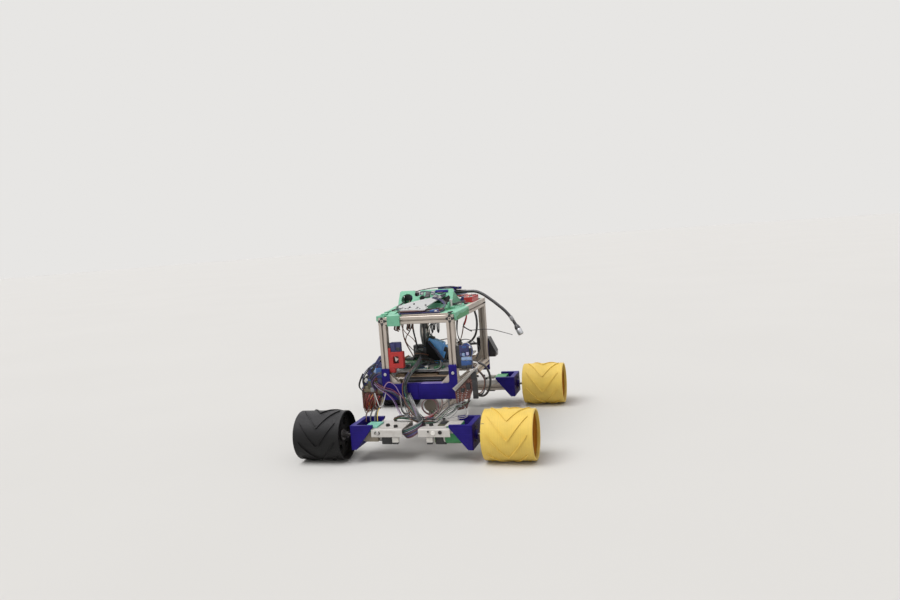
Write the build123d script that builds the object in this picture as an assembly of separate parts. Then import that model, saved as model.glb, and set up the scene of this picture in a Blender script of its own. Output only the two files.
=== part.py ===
from build123d import *
from math import atan2, cos, degrees, pi, radians, sin, tan
import os

os.makedirs("parts", exist_ok=True)

# Small laboratory rover: a box cage of slotted bars on a ladder frame, with one driven wheel at each corner.
# X runs across the rover, the front faces -Y, Z is up, and the origin is on the ground between the axles.

# Wheels and stance
WHEEL_DIAMETER = 100.0
WHEEL_WIDTH = 96.0
WHEEL_WALL = 4.0
WHEEL_CHAMFER = 0.8
TRACK = 374.0
WHEELBASE = 460.0
DISC_THICKNESS = 5.0
DISC_SETBACK = 11.0  # from the wheel's inner rim to its disc
DISC_HOLES = 6
DISC_HOLE_RADIUS = 8.0
DISC_HOLE_CIRCLE = 28.0
BOSS_RADIUS = 12.0
BOSS_LENGTH = 9.0

# Axle shafts and the couplers that carry the wheels
SHAFT_RADIUS = 3.0
SHAFT_CLEARANCE = 0.05
SHAFT_END_GAP = 0.3
COUPLER_FLANGE_RADIUS = 11.0
COUPLER_FLANGE_THICKNESS = 3.0
COUPLER_BARREL_RADIUS = 6.0
COUPLER_BARREL_LENGTH = 9.0
COUPLER_CHAMFER = 0.6

# Slotted bar section
BEAM = 15.0
BEAM_CHAMFER = 0.6
SLOT_MOUTH = 3.4
SLOT_LIP = 1.3
SLOT_WIDTH = 6.2
SLOT_STRAIGHT = 1.2
SLOT_FLOOR = 2.6
SLOT_DEPTH = 4.5
CORE_HOLE_RADIUS = 1.4

# Cage
CAGE_WIDTH = 140.0  # between the centre lines of the posts
CAGE_FRONT = -167.0  # centre line of the front posts
CAGE_DEPTH = 280.0
CAGE_TOP = 272.0
CAGE_BASE = 120.5
CORNER_BRACKET_LEG = 22.0
CORNER_BRACKET_WIDTH = 11.0
CORNER_BRACKET_WALL = 2.5

# Ladder frame
MOTOR_TO_BEAM = 12.5  # between the gearmotor and the axle beam behind it
UPRIGHT_PITCH = 150.0
CAN_RADIUS = 13.0
CAN_DEPTH = 9.0
CAN_RISE = 30.0  # above the axles
CAN_RIM = 1.6

# Knuckles that carry the wheels
KNUCKLE_GAP = 18.0  # between the knuckle's plate and the wheel
KNUCKLE_PLATE = 10.0
KNUCKLE_GUSSET = 8.0
KNUCKLE_AHEAD = 30.0
KNUCKLE_REACH = 45.0
KNUCKLE_RISE = 7.0  # above the arm brackets
KNUCKLE_DROP = 22.0  # below the axle
KNUCKLE_TIP = 4.0
KNUCKLE_INNER_FILLET = 5.0
KNUCKLE_OUTER_FILLET = 2.0
BEARING_RADIUS = 9.0
BEARING_LENGTH = 4.0
END_SCREW_RADIUS = 1.7
END_SCREW_HEAD_RADIUS = 3.4
END_SCREW_HEAD_DEPTH = 3.0

# Gearmotors and their clamps
MOTOR_RADIUS = 12.5
MOTOR_LENGTH = 47.0
GEARBOX_LENGTH = 22.0
CAN_STEP = 0.4  # the motor's can is this much smaller than its gearbox
ENCODER_SIDE = 20.0
ENCODER_LENGTH = 20.0
ENCODER_FILLET = 4.0
CLAMP_LENGTH = 26.0
CLAMP_INSET = 16.0  # from the knuckle's plate
CLAMP_WALL = 7.0
CLAMP_DROP = 9.0  # below the axle
CLAMP_LIP = 3.0
CLAMP_FIT = 0.1
CLAMP_FILLET = 2.0

# Folded arm brackets
ARM_INNER = 16.0
ARM_GAP = 5.5  # between the gearmotor and the top of the bracket
ARM_OVERLAP = 2.0  # past the inner ends of the knuckle's gussets
ARM_SHEET = 2.0
ARM_FLANGE = 15.0
ARM_FOOT = 12.0
ARM_BEND = 2.5
ARM_HOLE_RADIUS = 2.7
ARM_SLOT_WIDTH = 6.0
ARM_SLOT_LENGTH = 26.0
ARM_SLOT_ANGLE = 50.0
OVAL_WIDTH = 7.0
OVAL_LENGTH = 12.0

# Printed fascias
FASCIA_WALL = 4.0
FASCIA_HEIGHT = 31.5
FASCIA_LIP = 2.5
FASCIA_SEAM = 0.6
FASCIA_FILLET = 6.0
SEAM_OFFSET = -3.0
LUG_WIDTH = 16.0
LUG_HEIGHTS = (31.0, 36.0)  # left and right lug above the fascia
LUG_FILLET = 2.0
LUG_SCREW_RISE = 20.0
LUG_SCREW_RADIUS = 2.2

# Deck on top of the cage
DECK_THICKNESS = 3.0
DECK_FRONT_INSET = 9.0
DECK_HOLES_X = -15.0
DECK_HOLES_Y = 62.0
DECK_HOLE_PITCH_X = 70.0
DECK_HOLE_PITCH_Y = 40.0
DECK_HOLE_RADIUS = 1.7
CABLE_HOLE_RADIUS = 11.0
CABLE_HOLE_Y = 8.0
CLIP_LIMITS = (-58.0, -32.0)
CLIP_WALL = 3.5
CLIP_LIP = 2.5
CLIP_LIP_REACH = 6.0
CAP_DROP = 10.0
CAP_WIDTH = 16.0
CAP_SKIRT_LENGTH = 32.0
CAP_SLOT_WIDTH = 5.0
CAP_SLOT_LENGTH = 9.0
FLANGE_LENGTH = 110.0
FLANGE_DROP = 16.0
FLANGE_START = 7.0  # behind the front face of the cage
FLANGE_CHAMFER = 5.0
SHOULDER_WIDTH = 25.0
SHOULDER_RISE = 8.0
SHOULDER_START = 24.0  # behind the front face of the cage

# Perforated panel that leans back on the deck
PANEL_LIMITS = (-74.0, 46.0)
PANEL_FOOT = -62.0
PANEL_HEIGHT = 37.0
PANEL_LEAN = 37.0
PANEL_WALL = 2.5
PANEL_CORNER = 5.0
PANEL_HOLES = ((-56.0, 26.0, 12.5), (-22.0, 27.0, 6.0))  # across the rover, up the panel, radius
NOTCH = (-40.0, -28.0, 37.0)  # left, right, height of its floor up the panel
WINDOW = ((3.0, 12.0), (31.0, 12.0), (33.0, 26.0), (15.0, 26.0))
WINDOW_FILLET = 1.5
RIB_END = 28.0

# White sheet that leans on the panel
SHEET_OVERLAP = 3.5  # over the back of the circuit board
SHEET_THICKNESS = 2.0
SHEET_REST = 24.0  # height above the deck at which it touches the panel
SHEET_OUTLINE = ((-50, 0), (0, 0), (30, 1), (18, 1), (2, 0.83), (-38, 0.55), (-58, 0.3))  # X, share of slope
SHEET_HOLES = ((-46, 14), (-37, 5), (-33, 11), (-16, 6.5), (-12, 13))
SHEET_HOLE_RADIUS = 1.6
SHEET_CORNER = 2.0
SEAT_GAP = 0.1

# Boards and modules on the deck and the posts
DECK_BOARD_LIMITS = (-38.0, 48.0)
DECK_BOARD_DEPTH = 47.0
BOARD_THICKNESS = 1.6
BOARD_CORNER = 2.5
BOARD_FOOT_RADIUS = 2.5
BOARD_FOOT_INSET = 4.0
BOARD_FOOT_HEIGHT = 1.5
MODULE_FILLET = 1.5
RED_MODULE = ((47.0, 71.0), (20.0, 84.0))  # limits in X and in Y
RED_MODULE_HEIGHT = 12.0
SOCKET_WIDTH = 40.0
SOCKET_DEPTH = 22.0
SOCKET_WALL = 1.0  # above the gland
RED_BRACKET_WIDTH = 30.5
RED_BRACKET_HEIGHT = 33.0
RED_BRACKET_DEPTH = 12.0
RED_BRACKET_RISE = 33.5
RED_BRACKET_WINDOW = (12.0, 15.0)
CONVERTER_WIDTH = 22.0
CONVERTER_HEIGHT = 19.0
CONVERTER_DEPTH = 8.0
CONVERTER_INSET = 4.5
CARRIER = ((0, 30), (14, 30), (14, 68), (0, 68))
MODULE_BOARDS = (((10, 30), (32, 30), (32, 52), (10, 52)), ((8, 54), (27, 54), (27, 76), (8, 76)))
MODULE_BOARD = 4.0
MODULE_DEPTH = 40.0
SIDE_BOARD_THICKNESS = 2.5
SIDE_BOARD_DEPTH = 70.0
SIDE_BOARD_RISE = 56.5
SIDE_BOARD_SPREAD = 48.0
SIDE_BOARD_DROP = 64.0
STRIP_BOARD_THICKNESS = 2.0
STRIP_BOARD_SHARE = 0.75
STRIP_BOARD_LENGTH = 88.0
STRIP_BOARD_EDGE = 42.0
STRIP_BOARD_TAPER = 2.0
PERFBOARD_RIGHT = ((-3.5, -51.5), (16.5, -47.5), (34.5, 0.5), (40.5, 28.5), (-5.5, -8.5))
SHELF_RIGHT = ((-5.5, -8), (40.5, 29), (38.5, 31.5), (-7.5, -5.5))
SHELF_DEPTH = 12.0
REAR_BOX = ((-27.5, 0.5), (14.5, 0.5), (15.5, 12.5), (0.5, 44.5), (-27.5, 46.5))
REAR_BOX_DEPTH = 30.0

# Electronics trays
TRAY_THICKNESS = 3.0
LOWER_TRAY_THICKNESS = 2.5
TRAY_SIDE_GAP = 3.0
TRAY_FRONT_GAP = 6.0
TRAY_BACK_GAP = 30.0
TRAY_GAP = 7.5
TRAY_CORNER = 3.0
POWER_PACK_HEIGHT = 11.5
POWER_PACK = ((-40.0, 44.0), (-150.0, 0.0))  # limits in X and in Y
STANDOFF_RADIUS = 3.5
STANDOFF_INSET = 8.0
BATTERY_SIZE = (38.0, 20.0, 46.0)
BATTERY_FILLET = 3.0
BATTERY_FOOT = 12.5
BATTERY_FRONT = -84.0
COMPUTER_HEIGHT = 12.5
COMPUTER = ((-58.0, -20.0), (-130.0, -60.0))

# Power lead
LEAD_DIAMETER = 7.0
LEAD_ARC_SHARE = 0.45
GLAND_RADIUS = 6.0
GLAND_LENGTH = 6.0
PLUG_RADIUS = 6.5
PLUG_LENGTH = 24.0
PLUG_TAPER = 6.0
PLUG_MOUTH_RADIUS = 4.8
PLUG_MOUTH_DEPTH = 5.0

HALF_BEAM = BEAM / 2
AXLE_Z = WHEEL_DIAMETER / 2
AXLE_Y = WHEELBASE / 2
WHEEL_INNER = TRACK / 2 - WHEEL_WIDTH / 2
WHEEL_OUTER = TRACK / 2 + WHEEL_WIDTH / 2
DISC_INNER = WHEEL_INNER + DISC_SETBACK
DISC_OUTER = DISC_INNER + DISC_THICKNESS

POST_X = CAGE_WIDTH / 2
POST_INNER = POST_X - HALF_BEAM
POST_FACE = POST_X + HALF_BEAM
CAGE_BACK = CAGE_FRONT + CAGE_DEPTH
CAGE_MIDDLE = CAGE_FRONT + CAGE_DEPTH / 2
FRONT_FACE = CAGE_FRONT - HALF_BEAM
REAR_FACE = CAGE_BACK + HALF_BEAM
COVER_FRONT = FRONT_FACE - FASCIA_WALL
COVER_BACK = REAR_FACE + FASCIA_WALL
RAIL_Z = CAGE_TOP - HALF_BEAM
SILL_Z = CAGE_BASE + HALF_BEAM
SILL_TOP = CAGE_BASE + BEAM
DECK_FRONT = FRONT_FACE + DECK_FRONT_INSET
DECK_TOP = CAGE_TOP + DECK_THICKNESS
UPRIGHT_YS = (CAGE_MIDDLE - UPRIGHT_PITCH / 2, CAGE_MIDDLE + UPRIGHT_PITCH / 2)

PLATE_OUTER = WHEEL_INNER - KNUCKLE_GAP
PLATE_INNER = PLATE_OUTER - KNUCKLE_PLATE
GUSSET_TIP = PLATE_OUTER - KNUCKLE_REACH
AXLE_BEAM_Y = AXLE_Y - MOTOR_RADIUS - MOTOR_TO_BEAM - HALF_BEAM
KNUCKLE_BACK = -AXLE_BEAM_Y + HALF_BEAM + KNUCKLE_GUSSET
KNUCKLE_FRONT = -AXLE_Y - KNUCKLE_AHEAD
KNUCKLE_BOTTOM = AXLE_Z - KNUCKLE_DROP
ARM_OUTER = GUSSET_TIP + ARM_OVERLAP
ARM_TOP = AXLE_Z + MOTOR_RADIUS + ARM_GAP
KNUCKLE_TOP = ARM_TOP + KNUCKLE_RISE

FRONT, REAR = -1, 1
LEFT, RIGHT = -1, 1
SIDES = {LEFT: "left", RIGHT: "right"}
ENDS = {FRONT: "front", REAR: "rear"}
BAR_ENDS = ((FRONT, CAGE_FRONT), (REAR, CAGE_BACK))


def save(name, *solids):
    """Write one sub-part, made of one solid or of several that stand apart."""
    shape = solids[0] if len(solids) == 1 else Compound(children=[Compound(s.wrapped) for s in solids])
    export_step(shape, f"parts/{name}.step")


def panel(x, y):
    """A rectangle given by its low and high limit along each axis."""
    return Pos((x[0] + x[1]) / 2, (y[0] + y[1]) / 2) * Rectangle(x[1] - x[0], y[1] - y[0])


def block(x, y, z):
    """A box given by its low and high limit along each axis."""
    return extrude(Pos(0, 0, z[0]) * panel(x, y), z[1] - z[0])


def outline(*points):
    """A face bounded by straight lines between the points."""
    return make_face(Polyline(*points, close=True))


def corner(face, x, y):
    """The corner of a flat face that lies nearest to a point."""
    return face.vertices().sort_by_distance((x, y, 0))[0]


def upright(face, front, thickness):
    """A face drawn in X and Z, thickened towards the back from its front plane."""
    return extrude(Plane.XZ.offset(-front) * face, -thickness)


def crosswise(face, start, width):
    """A face drawn in Y and Z, thickened across the rover."""
    return extrude(Plane.YZ.offset(start) * face, width)


def across(shape, side, end):
    """A shape built for the right front corner, mirrored to another corner."""
    if side == LEFT:
        shape = mirror(shape, about=Plane.YZ)
    if end == REAR:
        shape = mirror(shape, about=Plane.XZ)
    return shape


def on_axle(shape):
    """A shape built round the X axis, moved to the front axle."""
    return Pos(0, -AXLE_Y, AXLE_Z) * shape


def rod(radius, start, end):
    """A round rod along the X axis."""
    return Pos((start + end) / 2, 0, 0) * Rot(0, 90, 0) * Cylinder(radius, end - start)


def bar_section():
    """Square bar with a T-slot in each side and a hole through its core."""
    lip = HALF_BEAM - SLOT_LIP
    half_slot = [
        (SLOT_MOUTH / 2, BEAM),
        (SLOT_MOUTH / 2, lip),
        (SLOT_WIDTH / 2, lip),
        (SLOT_WIDTH / 2, lip - SLOT_STRAIGHT),
        (SLOT_FLOOR / 2, HALF_BEAM - SLOT_DEPTH),
    ]
    slot = outline(*half_slot, *[(-x, y) for x, y in reversed(half_slot)])
    square = Rectangle(BEAM, BEAM)
    section = chamfer(square.vertices(), BEAM_CHAMFER)
    section -= [Rot(0, 0, turn) * slot for turn in (0, 90, 180, 270)]
    return section - Circle(CORE_HOLE_RADIUS)


BAR_SECTION = bar_section()


def bar(start, end):
    """A slotted bar whose centre line runs from start to end."""
    run = Vector(*end) - Vector(*start)
    side = (0, 1, 0) if abs(run.X) > abs(run.Y) else (1, 0, 0)
    return extrude(Plane(origin=start, x_dir=side, z_dir=run) * BAR_SECTION, run.length)


# Cage
for end, y in BAR_ENDS:
    for side, side_name in SIDES.items():
        x = side * POST_X
        save(f"post_{ENDS[end]}_{side_name}", bar((x, y, SILL_TOP), (x, y, CAGE_TOP - BEAM)))
    save(f"top_bar_{ENDS[end]}", bar((-POST_INNER, y, RAIL_Z), (POST_INNER, y, RAIL_Z)))
for side, side_name in SIDES.items():
    x = side * POST_X
    save(f"rail_{side_name}", bar((x, FRONT_FACE, RAIL_Z), (x, REAR_FACE, RAIL_Z)))
save("sills", *[
    bar((side * POST_X, FRONT_FACE, SILL_Z), (side * POST_X, REAR_FACE, SILL_Z)) for side in SIDES
])
save("base_crossbars", *[
    bar((-POST_INNER, y, SILL_Z), (POST_INNER, y, SILL_Z)) for y in (CAGE_FRONT, *UPRIGHT_YS, CAGE_BACK)
])


def corner_bracket(side, y):
    """Gusseted angle between a base crossbar and the inner face of a post."""
    foot = POST_INNER - CORNER_BRACKET_LEG
    inner = POST_INNER - CORNER_BRACKET_WALL
    low = SILL_TOP + CORNER_BRACKET_WALL
    high = SILL_TOP + CORNER_BRACKET_LEG
    triangle = outline((POST_INNER, SILL_TOP), (foot, SILL_TOP), (POST_INNER, high))
    hollow = panel((foot, inner), (low, high))
    hollow_width = CORNER_BRACKET_WIDTH - 2 * CORNER_BRACKET_WALL
    solid = upright(triangle, y - CORNER_BRACKET_WIDTH / 2, CORNER_BRACKET_WIDTH)
    solid -= upright(hollow, y - hollow_width / 2, hollow_width)
    return across(solid, side, FRONT)


save("corner_brackets", *[corner_bracket(side, y) for side in SIDES for _, y in BAR_ENDS])

# Ladder frame under the cage
for end, end_name in ENDS.items():
    y = end * AXLE_BEAM_Y
    save(f"axle_beam_{end_name}", bar((-PLATE_INNER, y, AXLE_Z), (PLATE_INNER, y, AXLE_Z)))
save("spine", bar((0, -AXLE_BEAM_Y + HALF_BEAM, AXLE_Z), (0, AXLE_BEAM_Y - HALF_BEAM, AXLE_Z)))
save("spine_uprights", *[bar((0, y, AXLE_Z + HALF_BEAM), (0, y, CAGE_BASE)) for y in UPRIGHT_YS])


def round_can():
    """Shallow round can on the front upright, with a raised rim."""
    back = UPRIGHT_YS[0] - HALF_BEAM
    centre = Pos(0, AXLE_Z + CAN_RISE)
    solid = upright(centre * Circle(CAN_RADIUS), back - CAN_DEPTH, CAN_DEPTH)
    return solid - upright(centre * Circle(CAN_RADIUS - CAN_RIM), back - CAN_DEPTH, CAN_RIM)


save("round_can", round_can())


def knuckle():
    """Printed U-shaped bracket: an upright plate with the shaft's bearing between two sloping gussets."""
    body = panel((GUSSET_TIP, PLATE_OUTER), (KNUCKLE_FRONT, KNUCKLE_BACK))
    mouth = panel(
        (GUSSET_TIP - BEAM, PLATE_INNER),
        (KNUCKLE_FRONT + KNUCKLE_GUSSET, KNUCKLE_BACK - KNUCKLE_GUSSET),
    )
    body = fillet(body.vertices().group_by(Axis.X)[-1], KNUCKLE_OUTER_FILLET)
    mouth = fillet(corner(mouth, PLATE_INNER, KNUCKLE_FRONT), KNUCKLE_INNER_FILLET)
    solid = extrude(Pos(0, 0, KNUCKLE_BOTTOM) * (body - mouth), KNUCKLE_TOP - KNUCKLE_BOTTOM)
    below_gussets = outline(
        (GUSSET_TIP, KNUCKLE_TOP - KNUCKLE_TIP),
        (PLATE_INNER, KNUCKLE_BOTTOM),
        (GUSSET_TIP, KNUCKLE_BOTTOM),
    )
    solid -= upright(below_gussets, KNUCKLE_FRONT, KNUCKLE_BACK - KNUCKLE_FRONT)
    bearing = rod(BEARING_RADIUS, PLATE_INNER, PLATE_OUTER + BEARING_LENGTH)
    bore = rod(SHAFT_RADIUS + SHAFT_CLEARANCE, GUSSET_TIP, WHEEL_INNER)
    solid = solid + on_axle(bearing) - on_axle(bore)
    end_screw = rod(END_SCREW_RADIUS, GUSSET_TIP, WHEEL_INNER)
    end_screw += rod(END_SCREW_HEAD_RADIUS, PLATE_OUTER - END_SCREW_HEAD_DEPTH, WHEEL_INNER)
    return solid - Pos(0, -AXLE_BEAM_Y, AXLE_Z) * end_screw


def gearmotor():
    """Round gearmotor on the inner face of the knuckle's plate, with its square encoder cap."""
    can_inner = PLATE_INNER - MOTOR_LENGTH
    gearbox = rod(MOTOR_RADIUS, PLATE_INNER - GEARBOX_LENGTH, PLATE_INNER)
    can = rod(MOTOR_RADIUS - CAN_STEP, can_inner, PLATE_INNER - GEARBOX_LENGTH)
    cap = crosswise(RectangleRounded(ENCODER_SIDE, ENCODER_SIDE, ENCODER_FILLET), can_inner, -ENCODER_LENGTH)
    return on_axle(gearbox + can + cap)


def motor_clamp():
    """Printed saddle that snaps over the gearmotor and grips the outer edge of the arm bracket."""
    outer = PLATE_INNER - CLAMP_INSET
    inner = outer - CLAMP_LENGTH
    half = MOTOR_RADIUS + CLAMP_WALL
    side_view = panel((-AXLE_Y - half, -AXLE_Y + half), (AXLE_Z - CLAMP_DROP, ARM_TOP + CLAMP_LIP))
    side_view = fillet(side_view.vertices(), CLAMP_FILLET)
    solid = crosswise(side_view, inner, CLAMP_LENGTH)
    depth = (-AXLE_Y - half, -AXLE_Y + half)
    solid -= block((inner, ARM_OUTER), depth, (ARM_TOP - ARM_SHEET, ARM_TOP))
    return solid - on_axle(rod(MOTOR_RADIUS + CLAMP_FIT, inner, outer))


# Holes in the top of an arm bracket, each as its distance from the bracket's inner end and front edge
ARM_HOLES = {LEFT: ((17, 16), (37, 30)), RIGHT: ((6, 29), (19, 29))}
ARM_SLOT = (41.0, 35.0)
ARM_OVAL = 12.0  # from the bracket's outer end


def arm_bracket(side):
    """Folded channel over the motor, with a foot on the axle beam."""
    front = KNUCKLE_FRONT
    back = -AXLE_BEAM_Y + HALF_BEAM
    foot = AXLE_Z + HALF_BEAM
    section = outline(
        (front, ARM_TOP - ARM_FLANGE),
        (front + ARM_SHEET, ARM_TOP - ARM_FLANGE),
        (front + ARM_SHEET, ARM_TOP - ARM_SHEET),
        (back - ARM_SHEET, ARM_TOP - ARM_SHEET),
        (back - ARM_SHEET, foot + ARM_SHEET),
        (back - ARM_FOOT, foot + ARM_SHEET),
        (back - ARM_FOOT, foot),
        (back, foot),
        (back, ARM_TOP),
        (front, ARM_TOP),
    )
    section = fillet(section.vertices().group_by(Axis.Y)[-1], ARM_BEND)
    solid = crosswise(section, ARM_INNER, ARM_OUTER - ARM_INNER)
    cuts = [Pos(ARM_INNER + x, front + y) * Circle(ARM_HOLE_RADIUS) for x, y in ARM_HOLES[side]]
    if side == RIGHT:
        slot = Rot(0, 0, ARM_SLOT_ANGLE) * SlotOverall(ARM_SLOT_LENGTH, ARM_SLOT_WIDTH)
        cuts.append(Pos(ARM_INNER + ARM_SLOT[0], front + ARM_SLOT[1]) * slot)
    else:
        oval = Pos(ARM_OUTER - ARM_OVAL, ARM_TOP - ARM_FLANGE / 2) * SlotOverall(OVAL_LENGTH, OVAL_WIDTH)
        solid -= upright(oval, front, ARM_SHEET)
    for cut in cuts:
        solid -= extrude(Pos(0, 0, ARM_TOP) * cut, -ARM_SHEET)
    return solid


KNUCKLE = knuckle()
GEARMOTOR = gearmotor()
CLAMP = motor_clamp()
ARMS = {side: arm_bracket(side) for side in SIDES}


def wheel():
    """Open drum with a pierced disc near its inner rim."""
    radius = WHEEL_DIAMETER / 2
    inside = radius - WHEEL_WALL
    drum = outline((WHEEL_INNER, inside), (WHEEL_INNER, radius), (WHEEL_OUTER, radius), (WHEEL_OUTER, inside))
    section = chamfer(drum.vertices(), WHEEL_CHAMFER)
    section += panel((DISC_INNER, DISC_OUTER), (SHAFT_RADIUS, inside))
    section += panel((DISC_OUTER, DISC_OUTER + BOSS_LENGTH), (SHAFT_RADIUS, BOSS_RADIUS))
    holes = PolarLocations(DISC_HOLE_CIRCLE, DISC_HOLES) * Circle(DISC_HOLE_RADIUS)
    solid = revolve(section, Axis.X)
    return on_axle(solid - [crosswise(hole, DISC_INNER, DISC_THICKNESS) for hole in holes])


def hub():
    """Steel shaft with the flanged coupler that clamps the wheel's disc."""
    barrel_start = DISC_INNER - COUPLER_FLANGE_THICKNESS - COUPLER_BARREL_LENGTH
    barrel = panel((barrel_start, DISC_INNER), (0, COUPLER_BARREL_RADIUS))
    flange = panel((DISC_INNER - COUPLER_FLANGE_THICKNESS, DISC_INNER), (0, COUPLER_FLANGE_RADIUS))
    shaft = panel((PLATE_INNER + SHAFT_END_GAP, DISC_OUTER + BOSS_LENGTH), (0, SHAFT_RADIUS))
    section = shaft + chamfer(barrel.vertices().group_by(Axis.Y)[-1], COUPLER_CHAMFER)
    section += chamfer(flange.vertices().group_by(Axis.Y)[-1], COUPLER_CHAMFER)
    return on_axle(revolve(section, Axis.X))


WHEEL = wheel()
HUB = hub()
for end, end_name in ENDS.items():
    for side, side_name in SIDES.items():
        save(f"knuckle_{end_name}_{side_name}", across(KNUCKLE, side, end))
        save(f"wheel_{end_name}_{side_name}", across(WHEEL, side, end))
        save(f"hub_{end_name}_{side_name}", across(HUB, side, end))
    save(f"arm_brackets_{end_name}", *[across(arm, side, end) for side, arm in ARMS.items()])
    save(f"gearmotors_{end_name}", *[across(GEARMOTOR, side, end) for side in SIDES])
    save(f"motor_clamps_{end_name}", *[across(CLAMP, side, end) for side in SIDES])


def fascia(side, lug_height):
    """Half of a printed beam cover, built on the right, with the lug that screws to a post."""
    seam = side * SEAM_OFFSET + FASCIA_SEAM / 2
    lug_inner = POST_FACE - LUG_WIDTH
    top = SILL_TOP + FASCIA_LIP
    bottom = top - FASCIA_HEIGHT
    lug_top = top + lug_height
    face = outline(
        (seam, bottom),
        (POST_FACE, bottom),
        (POST_FACE, lug_top),
        (lug_inner, lug_top),
        (lug_inner, top),
        (seam, top),
    )
    face = fillet(corner(face, lug_inner, top), FASCIA_FILLET)
    face = fillet(face.vertices().group_by(Axis.Y)[-1], LUG_FILLET)
    face -= Pos(POST_X, top + LUG_SCREW_RISE) * Circle(LUG_SCREW_RADIUS)
    solid = upright(face, COVER_FRONT, FASCIA_WALL)
    lip_end = POST_INNER - CORNER_BRACKET_LEG
    solid += block((seam, lip_end), (COVER_FRONT, CAGE_FRONT), (SILL_TOP, top))
    return across(solid, side, FRONT)


FASCIAS = [fascia(side, lug_height) for side, lug_height in zip(SIDES, LUG_HEIGHTS)]
CAGE_MIDDLE_PLANE = Plane.XZ.offset(-CAGE_MIDDLE)
save("fascia_front_left", FASCIAS[0])
save("fascia_front_right", FASCIAS[1])
save("fascia_rear", *[mirror(half, about=CAGE_MIDDLE_PLANE) for half in FASCIAS])


def front_clip():
    """Hook from the deck, over the front bar and under it."""
    wall = FRONT_FACE - CLIP_WALL
    bar_bottom = CAGE_TOP - BEAM
    hook = outline(
        (DECK_FRONT, DECK_TOP),
        (wall, DECK_TOP),
        (wall, bar_bottom - CLIP_LIP),
        (FRONT_FACE + CLIP_LIP_REACH, bar_bottom - CLIP_LIP),
        (FRONT_FACE + CLIP_LIP_REACH, bar_bottom),
        (FRONT_FACE, bar_bottom),
        (FRONT_FACE, CAGE_TOP),
        (DECK_FRONT, CAGE_TOP),
    )
    return crosswise(hook, CLIP_LIMITS[0], CLIP_LIMITS[1] - CLIP_LIMITS[0])


def corner_cap():
    """Slotted cap over the left end of the rail, with a skirt down its outer face."""
    left = -POST_FACE - CLIP_WALL
    top = panel((left, left + CAP_WIDTH), (FRONT_FACE, FRONT_FACE + CAP_WIDTH))
    top -= Pos(-POST_X, FRONT_FACE + CAP_SLOT_WIDTH) * SlotOverall(CAP_SLOT_LENGTH, CAP_SLOT_WIDTH)
    skirt = panel((left, -POST_FACE), (FRONT_FACE, FRONT_FACE + CAP_SKIRT_LENGTH))
    solid = extrude(Pos(0, 0, CAGE_TOP) * top, DECK_THICKNESS)
    return solid + extrude(Pos(0, 0, DECK_TOP) * skirt, -CAP_DROP)


def rail_flange():
    """Flange down the outer face of the right rail."""
    start = FRONT_FACE + FLANGE_START
    side_view = panel((start, start + FLANGE_LENGTH), (DECK_TOP - FLANGE_DROP, DECK_TOP))
    side_view = chamfer(side_view.vertices().group_by(Axis.Y)[0], FLANGE_CHAMFER)
    return crosswise(side_view, POST_FACE, CLIP_WALL)


def shoulder():
    """Wedge that rises along the left edge of the deck to the foot of the panel."""
    side_view = outline(
        (FRONT_FACE + SHOULDER_START, DECK_TOP),
        (PANEL_FOOT, DECK_TOP),
        (PANEL_FOOT, DECK_TOP + SHOULDER_RISE),
    )
    return crosswise(side_view, -POST_FACE, SHOULDER_WIDTH)


def deck():
    """Printed plate on the rails, hooked over the front bar and flanged down the right rail."""
    plate = panel((-POST_FACE, POST_FACE), (DECK_FRONT, REAR_FACE))
    bolt_holes = GridLocations(DECK_HOLE_PITCH_X, DECK_HOLE_PITCH_Y, 2, 2) * Circle(DECK_HOLE_RADIUS)
    plate -= [Pos(DECK_HOLES_X, DECK_HOLES_Y) * hole for hole in bolt_holes]
    plate -= Pos(0, CABLE_HOLE_Y) * Circle(CABLE_HOLE_RADIUS)
    solid = extrude(Pos(0, 0, CAGE_TOP) * plate, DECK_THICKNESS)
    return solid + front_clip() + corner_cap() + rail_flange() + shoulder()


save("deck", deck())


def panel_point(rise):
    """Where the front of the leaning panel is, in Y and Z, at a height above the deck."""
    return PANEL_FOOT + rise * tan(radians(PANEL_LEAN)), DECK_TOP + rise


def deck_housing():
    """Perforated panel that leans back between two triangular ribs on the deck."""
    lean = radians(PANEL_LEAN)
    slope = Plane(origin=(0, PANEL_FOOT, DECK_TOP), x_dir=(1, 0, 0), z_dir=(0, -cos(lean), sin(lean)))
    top = PANEL_HEIGHT / cos(lean)
    face = panel(PANEL_LIMITS, (-PANEL_WALL, top))
    face = fillet(face.vertices().group_by(Axis.Y)[-1], PANEL_CORNER)
    notch_left, notch_right, notch_floor = NOTCH
    notch_radius = (notch_right - notch_left) / 2
    face -= panel((notch_left, notch_right), (notch_floor, 2 * top))
    face -= Pos(notch_left + notch_radius, notch_floor) * Circle(notch_radius)
    face -= [Pos(x, y) * Circle(radius) for x, y, radius in PANEL_HOLES]
    window = outline(*WINDOW)
    face -= fillet(window.vertices(), WINDOW_FILLET)
    solid = extrude(slope * face, -PANEL_WALL)
    rib_foot = PANEL_FOOT + PANEL_WALL / 2
    rib_y, rib_z = panel_point(PANEL_HEIGHT - PANEL_CORNER)
    rib = outline((rib_foot, DECK_TOP), (RIB_END, DECK_TOP), (rib_y + PANEL_WALL / 2, rib_z))
    for start in (PANEL_LIMITS[0], PANEL_LIMITS[1] - PANEL_WALL):
        solid += crosswise(rib, start, PANEL_WALL)
    return split(solid, bisect_by=Plane.XY.offset(DECK_TOP), keep=Keep.TOP)


save("deck_housing", deck_housing())


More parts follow.
